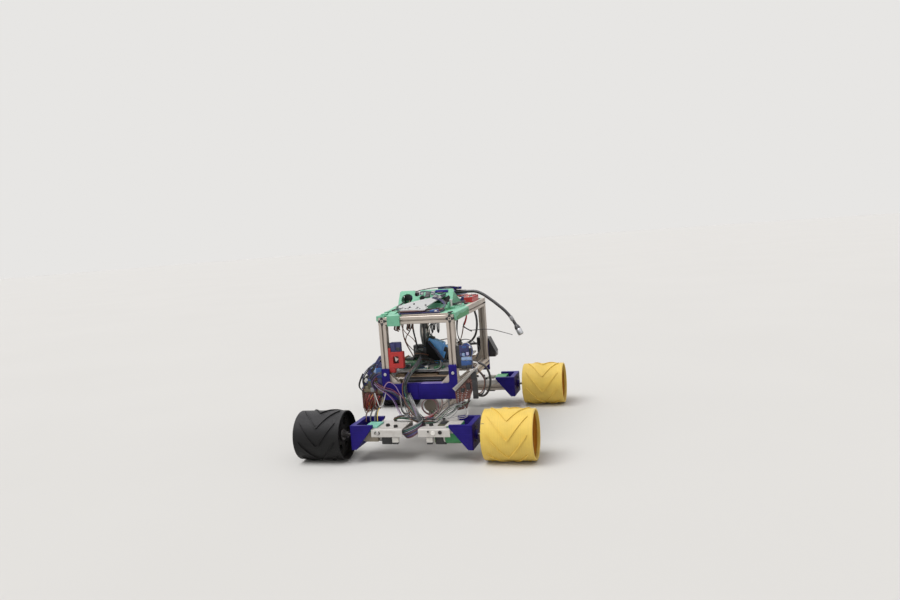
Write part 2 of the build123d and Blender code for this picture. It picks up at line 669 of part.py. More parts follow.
def deck_board():
    """Circuit board on four low feet behind the front bar."""
    centre = Pos(sum(DECK_BOARD_LIMITS) / 2, DECK_FRONT + DECK_BOARD_DEPTH / 2, DECK_TOP)
    width = DECK_BOARD_LIMITS[1] - DECK_BOARD_LIMITS[0]
    feet = GridLocations(width - 2 * BOARD_FOOT_INSET, DECK_BOARD_DEPTH - 2 * BOARD_FOOT_INSET, 2, 2)
    board = Pos(0, 0, BOARD_FOOT_HEIGHT) * RectangleRounded(width, DECK_BOARD_DEPTH, BOARD_CORNER)
    solid = extrude(board, BOARD_THICKNESS)
    for foot in feet * Circle(BOARD_FOOT_RADIUS):
        solid += extrude(foot, BOARD_FOOT_HEIGHT)
    return centre * solid


def sloped_panel():
    """White sheet that leans from the circuit board back to the perforated panel."""
    start = Vector(0, DECK_FRONT + DECK_BOARD_DEPTH - SHEET_OVERLAP)
    start += Vector(0, 0, DECK_TOP + BOARD_FOOT_HEIGHT + BOARD_THICKNESS + SEAT_GAP)
    slope = Vector(0, *panel_point(SHEET_REST)) - start
    reach = slope.length - SEAT_GAP
    sheet = outline(*[(x, reach * share) for x, share in SHEET_OUTLINE])
    sheet = fillet(sheet.vertices(), SHEET_CORNER)
    sheet -= [Pos(x, y) * Circle(SHEET_HOLE_RADIUS) for x, y in SHEET_HOLES]
    plane = Plane(origin=start, x_dir=(1, 0, 0), z_dir=Vector(1, 0, 0).cross(slope))
    return extrude(plane * sheet, SHEET_THICKNESS)


save("deck_board", deck_board())
save("sloped_panel", sloped_panel())


def rounded_block(x, y, z, radius):
    """A box with rounded upright edges."""
    face = panel(x, y)
    return extrude(Pos(0, 0, z[0]) * fillet(face.vertices(), radius), z[1] - z[0])


# Thick power lead from the socket at the back of the deck to the plug that hangs at its end
LEAD_POINTS = (
    (14.0, 106.0, 293.0),
    (40.0, 106.0, 293.0),
    (68.0, 101.0, 292.5),
    (102.0, 91.0, 270.0),
    (141.0, 80.5, 238.0),
    (154.0, 75.0, 214.5),
)


def lead_radii(points):
    """The largest arc at each corner that its two runs leave room for."""
    vectors = [Vector(*p) for p in points]
    radii = []
    for before, here, after in zip(vectors, vectors[1:], vectors[2:]):
        turn = radians((here - before).get_angle(after - here))
        shorter = min((here - before).length, (after - here).length)
        radii.append(LEAD_ARC_SHARE * shorter / tan(turn / 2))
    return radii


LEAD_PATH = FilletPolyline(*LEAD_POINTS, radius=lead_radii(LEAD_POINTS))
LEAD = sweep(Plane(origin=LEAD_PATH @ 0, z_dir=LEAD_PATH % 0) * Circle(LEAD_DIAMETER / 2), path=LEAD_PATH)
LEAD_SECTION = pi * LEAD_DIAMETER**2 / 4
print("lead radii", [round(r, 1) for r in lead_radii(LEAD_POINTS)])
print("lead length", round(LEAD_PATH.length, 1))
print("lead volume ratio", round(LEAD.volume / LEAD_PATH.length / LEAD_SECTION, 5))
save("power_lead", LEAD)


def lead_plug():
    """Plug with a tapered neck and a round mouth, in line with the end of the lead."""
    profile = outline(
        (0, 0),
        (LEAD_DIAMETER / 2, 0),
        (PLUG_RADIUS, PLUG_TAPER),
        (PLUG_RADIUS, PLUG_LENGTH),
        (PLUG_MOUTH_RADIUS, PLUG_LENGTH),
        (PLUG_MOUTH_RADIUS, PLUG_LENGTH - PLUG_MOUTH_DEPTH),
        (0, PLUG_LENGTH - PLUG_MOUTH_DEPTH),
    )
    plug = revolve(Plane.XZ * profile, Axis.Z)
    return Plane(origin=LEAD_PATH @ 1, z_dir=LEAD_PATH % 1) * plug


def cable_socket():
    """Connector housing at the back of the deck, with a round gland where the lead leaves it."""
    exit_x, exit_y, exit_z = LEAD_POINTS[0]
    right = exit_x - GLAND_LENGTH
    depth = (exit_y - SOCKET_DEPTH / 2, exit_y + SOCKET_DEPTH / 2)
    height = (DECK_TOP, exit_z + GLAND_RADIUS + SOCKET_WALL)
    solid = rounded_block((right - SOCKET_WIDTH, right), depth, height, MODULE_FILLET)
    return solid + Pos(0, exit_y, exit_z) * rod(GLAND_RADIUS, right - MODULE_FILLET, exit_x)


save("lead_plug", lead_plug())
save("cable_socket", cable_socket())
save("red_module", rounded_block(*RED_MODULE, (DECK_TOP, DECK_TOP + RED_MODULE_HEIGHT), MODULE_FILLET))

# Trays between the sills, and what stands on them
TRAY_X = POST_INNER - TRAY_SIDE_GAP
TRAY_Y = (CAGE_FRONT + HALF_BEAM + TRAY_FRONT_GAP, CAGE_BACK - HALF_BEAM - TRAY_BACK_GAP)
LOWER_TRAY_Z = SILL_TOP + POWER_PACK_HEIGHT
UPPER_TRAY_Z = LOWER_TRAY_Z + LOWER_TRAY_THICKNESS + TRAY_GAP
TRAY_TOP = UPPER_TRAY_Z + TRAY_THICKNESS


def lower_tray():
    """Thin board on four standoffs, which stand on the crossbars and carry the upper tray."""
    height = (LOWER_TRAY_Z, LOWER_TRAY_Z + LOWER_TRAY_THICKNESS)
    solid = rounded_block((-TRAY_X, TRAY_X), TRAY_Y, height, TRAY_CORNER)
    for x in (-TRAY_X + STANDOFF_INSET, TRAY_X - STANDOFF_INSET):
        for y in UPRIGHT_YS:
            solid += extrude(Pos(x, y, SILL_TOP) * Circle(STANDOFF_RADIUS), UPPER_TRAY_Z - SILL_TOP)
    return solid


def battery():
    """Wrapped battery that leans with one edge on the tray and its side on the computer."""
    width, depth, height = BATTERY_SIZE
    tilt = degrees(atan2(COMPUTER_HEIGHT, BATTERY_FOOT - COMPUTER[0][1]))
    face = panel((-width, 0), (0, height))
    face = fillet(face.vertices().group_by(Axis.Y)[-1], BATTERY_FILLET)
    return Pos(BATTERY_FOOT, 0, TRAY_TOP + SEAT_GAP) * Rot(0, tilt, 0) * upright(face, BATTERY_FRONT, depth)


save("lower_tray", lower_tray())
save("upper_tray", rounded_block((-TRAY_X, TRAY_X), TRAY_Y, (UPPER_TRAY_Z, TRAY_TOP), TRAY_CORNER))
save("power_pack", rounded_block(*POWER_PACK, (SILL_TOP, LOWER_TRAY_Z), MODULE_FILLET))
save("computer", rounded_block(*COMPUTER, (TRAY_TOP, TRAY_TOP + COMPUTER_HEIGHT), MODULE_FILLET))
save("battery", battery())


def beside_post(side, *points):
    """A face beside a post, from points that run outwards from the post and up from the sills."""
    return outline(*[(side * (POST_FACE + x), SILL_TOP + z) for x, z in points])


def red_bracket():
    """Square printed frame on the inner face of the left front post."""
    base = SILL_TOP + RED_BRACKET_RISE
    frame = panel((-POST_INNER, -POST_INNER + RED_BRACKET_WIDTH), (base, base + RED_BRACKET_HEIGHT))
    frame = fillet(frame.vertices().group_by(Axis.X)[-1], MODULE_FILLET)
    centre = Pos(-POST_INNER + RED_BRACKET_WIDTH / 2, base + RED_BRACKET_HEIGHT / 2)
    window = centre * RectangleRounded(*RED_BRACKET_WINDOW, MODULE_FILLET)
    return upright(frame - window, CAGE_FRONT - RED_BRACKET_DEPTH / 2, RED_BRACKET_DEPTH)


def blue_converter():
    """Small circuit block that stands on the red bracket."""
    base = SILL_TOP + RED_BRACKET_RISE + RED_BRACKET_HEIGHT
    left = -POST_INNER + CONVERTER_INSET
    face = panel((left, left + CONVERTER_WIDTH), (base, base + CONVERTER_HEIGHT))
    face = fillet(face.vertices().group_by(Axis.Y)[-1], BOARD_CORNER)
    return upright(face, CAGE_FRONT - CONVERTER_DEPTH / 2, CONVERTER_DEPTH)


def side_module_right():
    """Two boards that face forward on a carrier beside the right front post."""
    solid = upright(beside_post(RIGHT, *CARRIER), CAGE_FRONT - MODULE_BOARD, MODULE_DEPTH)
    for points in MODULE_BOARDS:
        face = beside_post(RIGHT, *points)
        solid += upright(fillet(face.vertices(), MODULE_FILLET), CAGE_FRONT - 2 * MODULE_BOARD, MODULE_BOARD)
    return solid


def left_boards():
    """Board that leans out from the left front post, and the strip board under its front edge."""
    top = Vector(-POST_FACE - SIDE_BOARD_THICKNESS, 0, SILL_TOP + SIDE_BOARD_RISE)
    lean = Vector(-SIDE_BOARD_SPREAD, 0, -SIDE_BOARD_DROP)
    inward = lean.cross(Vector(0, 1, 0)).normalized()
    plane = Plane(origin=top + Vector(0, CAGE_FRONT, 0), x_dir=lean, z_dir=inward)
    size = (lean.length, SIDE_BOARD_DEPTH, SIDE_BOARD_THICKNESS)
    board = plane * Box(*size, align=(Align.MIN, Align.MIN, Align.MIN))
    under = inward * (SIDE_BOARD_THICKNESS + SEAT_GAP)
    low = top + lean + under
    high = top + lean * (1 - STRIP_BOARD_SHARE) + under
    strip = outline(
        (low.X, low.Z),
        (high.X, high.Z),
        (high.X, high.Z - STRIP_BOARD_LENGTH),
        (low.X + STRIP_BOARD_TAPER, low.Z - STRIP_BOARD_EDGE),
    )
    return board, upright(strip, CAGE_FRONT, STRIP_BOARD_THICKNESS)


# Fittings on the posts
SIDE_BOARD_LEFT, PERFBOARD_LEFT = left_boards()
save("red_bracket", red_bracket())
save("blue_converter", blue_converter())
save("side_module_right", side_module_right())
save("side_board_left", SIDE_BOARD_LEFT)
save("perfboard_left", PERFBOARD_LEFT)
RIGHT_BOARDS = (
    ("perfboard_right", PERFBOARD_RIGHT, COVER_FRONT - STRIP_BOARD_THICKNESS, STRIP_BOARD_THICKNESS),
    ("shelf_right", SHELF_RIGHT, COVER_FRONT - SHELF_DEPTH, SHELF_DEPTH),
    ("rear_box", REAR_BOX, COVER_BACK, REAR_BOX_DEPTH),
)
for name, points, front, thickness in RIGHT_BOARDS:
    save(name, upright(beside_post(RIGHT, *points), front, thickness))
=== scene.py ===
from math import cos, pi, radians, sin, sqrt
from random import Random

import bmesh
import bpy
from mathutils import Matrix, Vector


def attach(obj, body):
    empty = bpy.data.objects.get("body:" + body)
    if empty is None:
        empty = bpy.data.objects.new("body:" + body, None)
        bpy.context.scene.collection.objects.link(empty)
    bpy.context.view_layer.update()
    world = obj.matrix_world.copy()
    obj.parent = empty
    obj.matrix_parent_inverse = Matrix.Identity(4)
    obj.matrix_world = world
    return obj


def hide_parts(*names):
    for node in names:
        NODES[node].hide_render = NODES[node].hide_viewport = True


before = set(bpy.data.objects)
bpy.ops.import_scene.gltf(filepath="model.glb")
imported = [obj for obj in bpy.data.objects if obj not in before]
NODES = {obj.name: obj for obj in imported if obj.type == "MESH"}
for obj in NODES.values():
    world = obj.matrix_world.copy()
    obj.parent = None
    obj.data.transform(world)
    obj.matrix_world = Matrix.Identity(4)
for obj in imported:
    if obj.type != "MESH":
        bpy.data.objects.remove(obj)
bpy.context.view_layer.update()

bl_info = {
    "name": "Planetary rover prototype",
    "version": (1, 0, 0),
    "blender": (4, 5, 0),
    "location": "View3D > Sidebar > Rover",
    "description": "Wheels, wiring, electronics and finishes of a small four-wheel laboratory rover",
    "category": "Object",
}

MM = 0.001
X, Y, Z, FRONT = (1, 0, 0), (0, 1, 0), (0, 0, 1), (0, -1, 0)
AXLE_Y = 230.0
AXLE_Z = 50.0
WHEEL_X = 187.0
DRUM_RADIUS = 47.8
CORNERS = [
    (f"{end}_{side}", toward, out)
    for end, toward in (("front", -1), ("rear", 1)) for side, out in (("left", -1), ("right", 1))
]


# Sizes and colours that a maker would change

def length_setting(name, description, millimetres):
    """A length in the settings."""
    return bpy.props.FloatProperty(
        name=name, description=description, default=millimetres * MM, unit="LENGTH"
    )


def colour_setting(name, description, *channels):
    """A colour in the settings."""
    return bpy.props.FloatVectorProperty(
        name=name, description=description, default=channels, size=3, subtype="COLOR", min=0, max=1
    )


class RoverSizes(bpy.types.PropertyGroup):
    """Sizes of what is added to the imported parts."""

    ribs: bpy.props.IntProperty(
        name="Ribs", description="Chevron ribs round each wheel", default=8, min=3, max=24
    )
    rib_height: length_setting("Rib height", "How far a rib stands off the drum", 2.15)
    rib_width: length_setting("Rib width", "Width of a rib", 2.6)
    rib_sweep: bpy.props.FloatProperty(
        name="Rib sweep", description="Turn of the wheel that one rib covers", default=radians(59),
        subtype="ANGLE",
    )
    layer: length_setting("Print layer", "Height of one layer of the printed parts", 0.4)
    edge: length_setting("Edge round", "Rounding of the edges of the packed parts", 0.35)
    wire: length_setting("Wire radius", "Radius of the thin wires", 0.75)


class RoverColours(bpy.types.PropertyGroup):
    """Base colours of the finishes."""

    blue_print: colour_setting("Blue print", "Fascias and knuckles", 0.015, 0.008, 0.165)
    mint_print: colour_setting("Mint print", "Deck and its perforated panel", 0.180, 0.490, 0.320)
    green_print: colour_setting("Green print", "Motor clamps", 0.045, 0.270, 0.095)
    pale_clamp: colour_setting("Pale clamp", "Clamp of the left front motor", 0.220, 0.560, 0.440)
    yellow_print: colour_setting("Yellow print", "Wheels at the right", 0.780, 0.545, 0.105)
    black_print: colour_setting("Black print", "Wheels at the left", 0.006, 0.006, 0.0065)
    red_print: colour_setting("Red print", "Red bracket", 0.450, 0.022, 0.020)
    aluminium: colour_setting("Bars", "Slotted bars", 0.540, 0.485, 0.430)
    white_metal: colour_setting("White metal", "Folded arm brackets", 0.520, 0.500, 0.475)
    white_sheet: colour_setting("White sheet", "Sheet that leans on the deck", 0.430, 0.435, 0.430)
    wrap: colour_setting("Battery wrap", "Shrink wrap of the battery", 0.150, 0.440, 0.920)
    dust: colour_setting("Sand dust", "Fine sand on the lower parts", 0.420, 0.330, 0.240)


def read_rows(text, mark=";"):
    """The rows of a table, parted by a mark, with numbers as numbers and words as words."""
    rows = [row.split() for row in text.split(mark) if row.strip()]
    return [[float(word) if word[-1].isdigit() else word for word in row] for row in rows]


# Shader groups

# What a colour input of a group holds until a material sets it
COLOUR = (0.5, 0.5, 0.5, 1.0)
SOCKETS = {"RGBA": "NodeSocketColor", "VECTOR": "NodeSocketVector", "VALUE": "NodeSocketFloat"}


def add_node(tree, kind, inputs=(), **settings):
    """Add a shader node, set its properties and its inputs, and give back its outputs."""
    node = tree.nodes.new("ShaderNode" + kind)
    node.location.x = 190 * len(tree.nodes)
    for key, value in settings.items():
        setattr(node, key, value)
    for key, value in dict(inputs).items():
        if isinstance(value, bpy.types.NodeSocket):
            tree.links.new(value, node.inputs[key])
        else:
            node.inputs[key].default_value = value
    return node.outputs


def calc(tree, operation, first, second=0.0):
    """The result of one sum on two numbers."""
    return add_node(tree, "Math", {0: first, 1: second}, operation=operation)[0]


def vector_calc(tree, operation, first, second=(0, 0, 0)):
    """The result of one sum on two vectors."""
    result = add_node(tree, "VectorMath", {0: first, 1: second}, operation=operation)
    return result["Value" if operation in ("DOT_PRODUCT", "LENGTH") else "Vector"]


def blend(tree, share, first, second):
    """A colour between two others."""
    return add_node(tree, "Mix", {0: share, 6: first, 7: second}, data_type="RGBA")[2]


def spread(tree, value, low, high):
    """A value stretched so that low becomes 0 and high becomes 1."""
    return add_node(tree, "MapRange", {"Value": value, "From Min": low, "From Max": high})["Result"]


def noise(tree, vector, scale, detail=2.0):
    """Soft noise between 0 and 1."""
    return add_node(tree, "TexNoise", {"Vector": vector, "Scale": scale, "Detail": detail})[0]


def bump(tree, height, strength, depth):
    """A normal that follows a height."""
    return add_node(tree, "Bump", {"Strength": strength, "Distance": depth, "Height": height})[0]


def object_place(tree):
    """The place on the surface, in the object's coordinates."""
    return add_node(tree, "TexCoord")["Object"]


def new_group(name, **inputs):
    """A shader group with an input for each colour, vector or number, as (tree, inputs)."""
    tree = bpy.data.node_groups.new(name, "ShaderNodeTree")
    for label, value in inputs.items():
        kind = "VALUE" if isinstance(value, float) else "VECTOR" if len(value) == 3 else "RGBA"
        socket = tree.interface.new_socket(
            name=label.replace("_", " "), in_out="INPUT", socket_type=SOCKETS[kind]
        )
        socket.default_value = value
    return tree, tree.nodes.new("NodeGroupInput").outputs


def close_group(tree, **values):
    """Give a shader group its outputs."""
    for label, value in values.items():
        tree.interface.new_socket(name=label, in_out="OUTPUT", socket_type=SOCKETS[value.type])
    outputs = tree.nodes.new("NodeGroupOutput")
    for label, value in values.items():
        tree.links.new(value, outputs.inputs[label])
    return tree


def printed_layers_group():
    """Layer lines, shade from layer to layer and a slight mottle of printed plastic."""
    tree, given = new_group(
        "Printed layers", Colour=COLOUR, Shade=COLOUR, Axis=Z, Layer=0.0004, Roughness=0.45
    )
    place = object_place(tree)
    count = calc(tree, "DIVIDE", vector_calc(tree, "DOT_PRODUCT", place, given["Axis"]), given["Layer"])
    line = calc(tree, "SINE", calc(tree, "MULTIPLY", count, 2 * pi))
    inputs = {"W": calc(tree, "MULTIPLY", count, 0.23), "Scale": 1.0, "Detail": 3.0}
    band = add_node(tree, "TexNoise", inputs, noise_dimensions="1D")[0]
    share = spread(tree, calc(tree, "ADD", band, noise(tree, place, 55.0, 4.0)), 0.75, 1.3)
    return close_group(
        tree, Colour=blend(tree, share, given["Colour"], given["Shade"]),
        Roughness=calc(tree, "ADD", given["Roughness"], calc(tree, "MULTIPLY", band, 0.12)),
        Normal=bump(tree, line, 0.35, 0.00015),
    )


def drawn_metal_group():
    """Fine streaks along a bar or can, with duller patches from handling."""
    tree, given = new_group("Drawn metal", Colour=COLOUR, Streaks=(1, 1, 1), Roughness=0.4)
    place = object_place(tree)
    streak = noise(tree, vector_calc(tree, "MULTIPLY", place, given["Streaks"]), 1.0, 3.0)
    patch = noise(tree, place, 28.0, 5.0)
    dull = vector_calc(tree, "MULTIPLY", given["Colour"], (0.72, 0.70, 0.68))
    share = calc(tree, "MULTIPLY", spread(tree, calc(tree, "ADD", streak, patch), 0.7, 1.4), 0.8)
    return close_group(
        tree, Colour=blend(tree, share, given["Colour"], dull),
        Roughness=calc(tree, "ADD", given["Roughness"], calc(tree, "MULTIPLY", patch, 0.2)),
        Normal=bump(tree, streak, 0.25, 0.0001),
    )


def handling_wear_group():
    """Scuffs and grime: thin scratches and soft stains in a second colour."""
    tree, given = new_group("Handling wear", Colour=COLOUR, Worn=COLOUR, Amount=0.5, Size=60.0)
    place = object_place(tree)
    stain = noise(tree, vector_calc(tree, "MULTIPLY", place, given["Size"]), 1.0, 6.0)
    scratch = noise(tree, vector_calc(tree, "MULTIPLY", place, (90.0, 900.0, 420.0)), 1.0, 2.0)
    thin = calc(tree, "MULTIPLY", spread(tree, scratch, 0.66, 0.72), 0.7)
    both = calc(tree, "MAXIMUM", spread(tree, stain, 0.52, 0.72), thin)
    mask = calc(tree, "MULTIPLY", both, given["Amount"])
    return close_group(tree, Colour=blend(tree, mask, given["Colour"], given["Worn"]), Mask=mask)


def sand_dust_group():
    """Dust that lies on upward faces and grows thicker towards the ground."""
    tree, given = new_group("Sand dust", Colour=COLOUR, Dust=COLOUR, Amount=0.3, Reach=0.09)
    place = object_place(tree)
    height = add_node(tree, "SeparateXYZ", {0: place})["Z"]
    facing = add_node(tree, "SeparateXYZ", {0: add_node(tree, "NewGeometry")["Normal"]})["Z"]
    low = calc(tree, "SUBTRACT", 1.0, spread(tree, calc(tree, "DIVIDE", height, given["Reach"]), 0.0, 1.0))
    lying = calc(tree, "ADD", calc(tree, "MULTIPLY", spread(tree, facing, 0.2, 1.0), 0.5), low)
    cloud = spread(tree, noise(tree, place, 130.0, 6.0), 0.38, 0.7)
    mask = calc(tree, "MULTIPLY", calc(tree, "MULTIPLY", lying, cloud), given["Amount"])
    return close_group(tree, Colour=blend(tree, mask, given["Colour"], given["Dust"]))


def board_tracks_group():
    """Tracks and soldered pads of a circuit board, in the plane of the given coordinates."""
    tree, given = new_group(
        "Board tracks", Vector=(0, 0, 0), Mask_Colour=COLOUR, Track=COLOUR, Pad=COLOUR, Pitch=0.00127
    )
    pitch = calc(tree, "DIVIDE", 1.0, given["Pitch"])
    grid = add_node(tree, "VectorMath", {0: given["Vector"], 3: pitch}, operation="SCALE")[0]
    parts = add_node(tree, "SeparateXYZ", {0: grid})
    masks = []
    for along, over in ((parts["X"], parts["Y"]), (parts["Y"], parts["X"])):
        stretch = calc(tree, "FLOOR", calc(tree, "MULTIPLY", along, 0.13))
        cell = add_node(tree, "CombineXYZ", {0: stretch, 1: calc(tree, "FLOOR", over)})[0]
        line = calc(tree, "LESS_THAN", calc(tree, "FRACT", over), 0.36)
        masks.append(calc(tree, "MULTIPLY", line, chance_above(tree, cell, 0.62)))
    tracks = calc(tree, "MAXIMUM", *masks)
    half = vector_calc(tree, "MULTIPLY", grid, (0.5, 0.5, 0.5))
    middle = vector_calc(tree, "SUBTRACT", vector_calc(tree, "FRACTION", half), (0.5, 0.5, 0.5))
    distance = vector_calc(tree, "LENGTH", vector_calc(tree, "MULTIPLY", middle, (1, 1, 0)))
    chance = chance_above(tree, vector_calc(tree, "FLOOR", half), 0.55)
    pads = calc(tree, "MULTIPLY", calc(tree, "LESS_THAN", distance, 0.3), chance)
    colour = blend(tree, tracks, given["Mask Colour"], given["Track"])
    return close_group(
        tree, Colour=blend(tree, pads, colour, given["Pad"]), Pads=pads,
        Normal=bump(tree, calc(tree, "MAXIMUM", tracks, pads), 0.5, 0.0001),
    )


def chance_above(tree, cell, level):
    """One in the cells whose random number is above a level, and nothing in the others."""
    chance = add_node(tree, "TexWhiteNoise", {"Vector": cell}, noise_dimensions="2D")[0]
    return calc(tree, "GREATER_THAN", chance, level)


GROUP_MAKERS = {
    "Printed layers": printed_layers_group,
    "Drawn metal": drawn_metal_group,
    "Handling wear": handling_wear_group,
    "Sand dust": sand_dust_group,
    "Board tracks": board_tracks_group,
}


def socket_names(values):
    """Values by the names of their sockets."""
    return {key.replace("_", " "): value for key, value in values.items()}


def use_group(tree, name, **inputs):
    """Place a shader group in a material, built the first time it is asked for."""
    group = bpy.data.node_groups.get(name) or GROUP_MAKERS[name]()
    return add_node(tree, "Group", socket_names(inputs), node_tree=group)


# Materials

FINISH = {}


def rgba(colour, level=1.0):
    """A colour with full alpha, made darker or lighter."""
    return (*[min(1.0, channel * level) for channel in colour], 1.0)


def start_material(name):
    """The empty node tree of a new material."""
    material = FINISH[name] = bpy.data.materials.new(name)
    material.use_nodes = True
    material.node_tree.nodes.clear()
    return material.node_tree


def close_material(tree, **values):
    """Give a material its Principled shader, with plain values on the shader's own sockets."""
    surface = add_node(tree, "BsdfPrincipled", socket_names(values))[0]
    add_node(tree, "OutputMaterial", {"Surface": surface})


def dusted(tree, colour, amount):
    """A colour with sand dust over it."""
    dust = rgba(bpy.context.scene.rover_colours.dust)
    return use_group(tree, "Sand dust", Colour=colour, Dust=dust, Amount=amount)["Colour"]


def printed(name, colour, axis, roughness, dust=0.12, shade=0.72, gloss=0.5, patches=()):
    """Printed plastic with its layers along one axis; a patch is (below X, below Z, colour)."""
    tree = start_material(name)
    base, darker = rgba(colour), rgba(colour, shade)
    for x, z, patch in patches:
        place = add_node(tree, "SeparateXYZ", {0: object_place(tree)})
        beside, below = calc(tree, "LESS_THAN", place["X"], x), calc(tree, "LESS_THAN", place["Z"], z)
        share = calc(tree, "MULTIPLY", beside, below)
        base, darker = blend(tree, share, base, rgba(patch)), blend(tree, share, darker, rgba(patch, shade))
    layers = use_group(
        tree, "Printed layers", Colour=base, Shade=darker, Axis=axis, Roughness=roughness,
        Layer=bpy.context.scene.rover_sizes.layer,
    )
    close_material(
        tree, Base_Color=dusted(tree, layers["Colour"], dust), Roughness=layers["Roughness"],
        Normal=layers["Normal"], Specular_IOR_Level=gloss,
    )


def metal(name, colour, streaks, roughness, metallic=1.0):
    """Drawn, turned or brushed metal."""
    tree = start_material(name)
    drawn = use_group(tree, "Drawn metal", Colour=rgba(colour), Streaks=streaks, Roughness=roughness)
    close_material(
        tree, Base_Color=drawn["Colour"], Roughness=drawn["Roughness"], Normal=drawn["Normal"],
        Metallic=metallic,
    )


def worn(name, colour, worn_colour, amount, size, roughness, dust=0.0, metallic=0.0, grain=0.0):
    """Painted, moulded or wrapped surface with scuffs and a slight grain."""
    tree = start_material(name)
    wear = use_group(
        tree, "Handling wear", Colour=rgba(colour), Worn=rgba(worn_colour), Amount=amount, Size=size
    )
    values = {"Base_Color": dusted(tree, wear["Colour"], dust) if dust else wear["Colour"]}
    if grain:
        values["Normal"] = bump(tree, noise(tree, object_place(tree), 900.0), grain, 0.0003)
    rough = calc(tree, "ADD", calc(tree, "MULTIPLY", wear["Mask"], 0.3), roughness)
    close_material(tree, Roughness=rough, Metallic=metallic, **values)


def circuit_board(name, turn, mask, track, pad):
    """Solder mask with tracks and pads, in the plane that the turn gives."""
    tree = start_material(name)
    turned = add_node(tree, "Mapping", {"Vector": object_place(tree), "Rotation": turn})[0]
    board = use_group(
        tree, "Board tracks", Vector=turned, Mask_Colour=rgba(mask), Track=rgba(track), Pad=rgba(pad)
    )
    rough = calc(tree, "SUBTRACT", 0.45, calc(tree, "MULTIPLY", board["Pads"], 0.15))
    close_material(
        tree, Base_Color=board["Colour"], Roughness=rough, Normal=board["Normal"], Coat_Weight=0.35,
        Coat_Roughness=0.2,
    )


# Each metal: colour, streaks to a metre along X, Y and Z, roughness, metallic where it isn't 1
METALS = """
steel 0.56 0.55 0.54 400 400 400 0.28; dark_steel 0.20 0.195 0.19 400 400 400 0.35;
black_steel 0.045 0.043 0.042 400 400 400 0.36 0.8; brass 0.62 0.45 0.20 300 300 300 0.3;
motor_can 0.40 0.40 0.40 900 40 40 0.30; round_can_metal 0.40 0.36 0.30 60 60 60 0.45 0.4
"""
# Each worn finish: colour, worn colour, amount and size of the wear, roughness, and where there is any,
# dust, metallic and grain
# The lilac finish is a painted highlight on the fascia's top edge; its paler second colour makes the
# highlight uneven.
WORN_FINISHES = """
white_plastic 0.78 0.76 0.72 0.50 0.46 0.42 0.4 200 0.35;
black_plastic 0.018 0.018 0.020 0.07 0.066 0.062 0.6 90 0.42 0 0 0.25;
grey_plastic 0.24 0.24 0.25 0.12 0.12 0.12 0.5 120 0.4 0 0 0.2;
silver_plug 0.42 0.43 0.44 0.22 0.22 0.22 0.5 300 0.3 0 0.6;
pale_blue_plastic 0.25 0.36 0.56 0.10 0.18 0.36 0.5 220 0.35;
blue_plastic 0.022 0.075 0.24 0.015 0.04 0.12 0.5 220 0.35;
olive_plastic 0.17 0.145 0.095 0.07 0.055 0.03 0.7 160 0.5;
dark_olive_plastic 0.055 0.055 0.030 0.12 0.10 0.07 0.6 160 0.5;
brown_plastic 0.075 0.030 0.016 0.20 0.07 0.03 0.6 190 0.5;
dark_blue_plastic 0.026 0.026 0.105 0.06 0.06 0.20 0.5 150 0.3;
lavender_plastic 0.42 0.40 0.62 0.24 0.22 0.44 0.5 200 0.35;
lilac_plastic 0.22 0.175 0.44 0.44 0.41 0.58 0.8 70 0.4;
maroon_plastic 0.085 0.016 0.028 0.16 0.06 0.08 0.5 150 0.4;
red_plastic 0.42 0.020 0.018 0.55 0.20 0.16 0.4 150 0.35;
tray_sheet 0.36 0.345 0.33 0.20 0.18 0.16 0.6 60 0.5 0.09;
tan_board 0.30 0.22 0.145 0.16 0.10 0.06 0.6 80 0.6 0.09 0 0.3;
lead_jacket 0.016 0.016 0.017 0.05 0.048 0.045 0.6 140 0.38 0 0 0.15
"""
# Each colour of wire insulation
WIRE_COLOURS = """
black 0.014 0.014 0.015; red 0.44 0.016 0.014; green 0.014 0.10 0.045; white 0.60 0.58 0.57;
purple 0.085 0.03 0.17; blue 0.03 0.09 0.42; yellow 0.72 0.50 0.06; pink 0.50 0.25 0.27;
grey 0.26 0.26 0.26; orange 0.66 0.20 0.03; maroon 0.12 0.012 0.03; navy 0.015 0.02 0.09;
lavender 0.26 0.20 0.40; brown 0.14 0.05 0.02; teal 0.02 0.14 0.12
"""


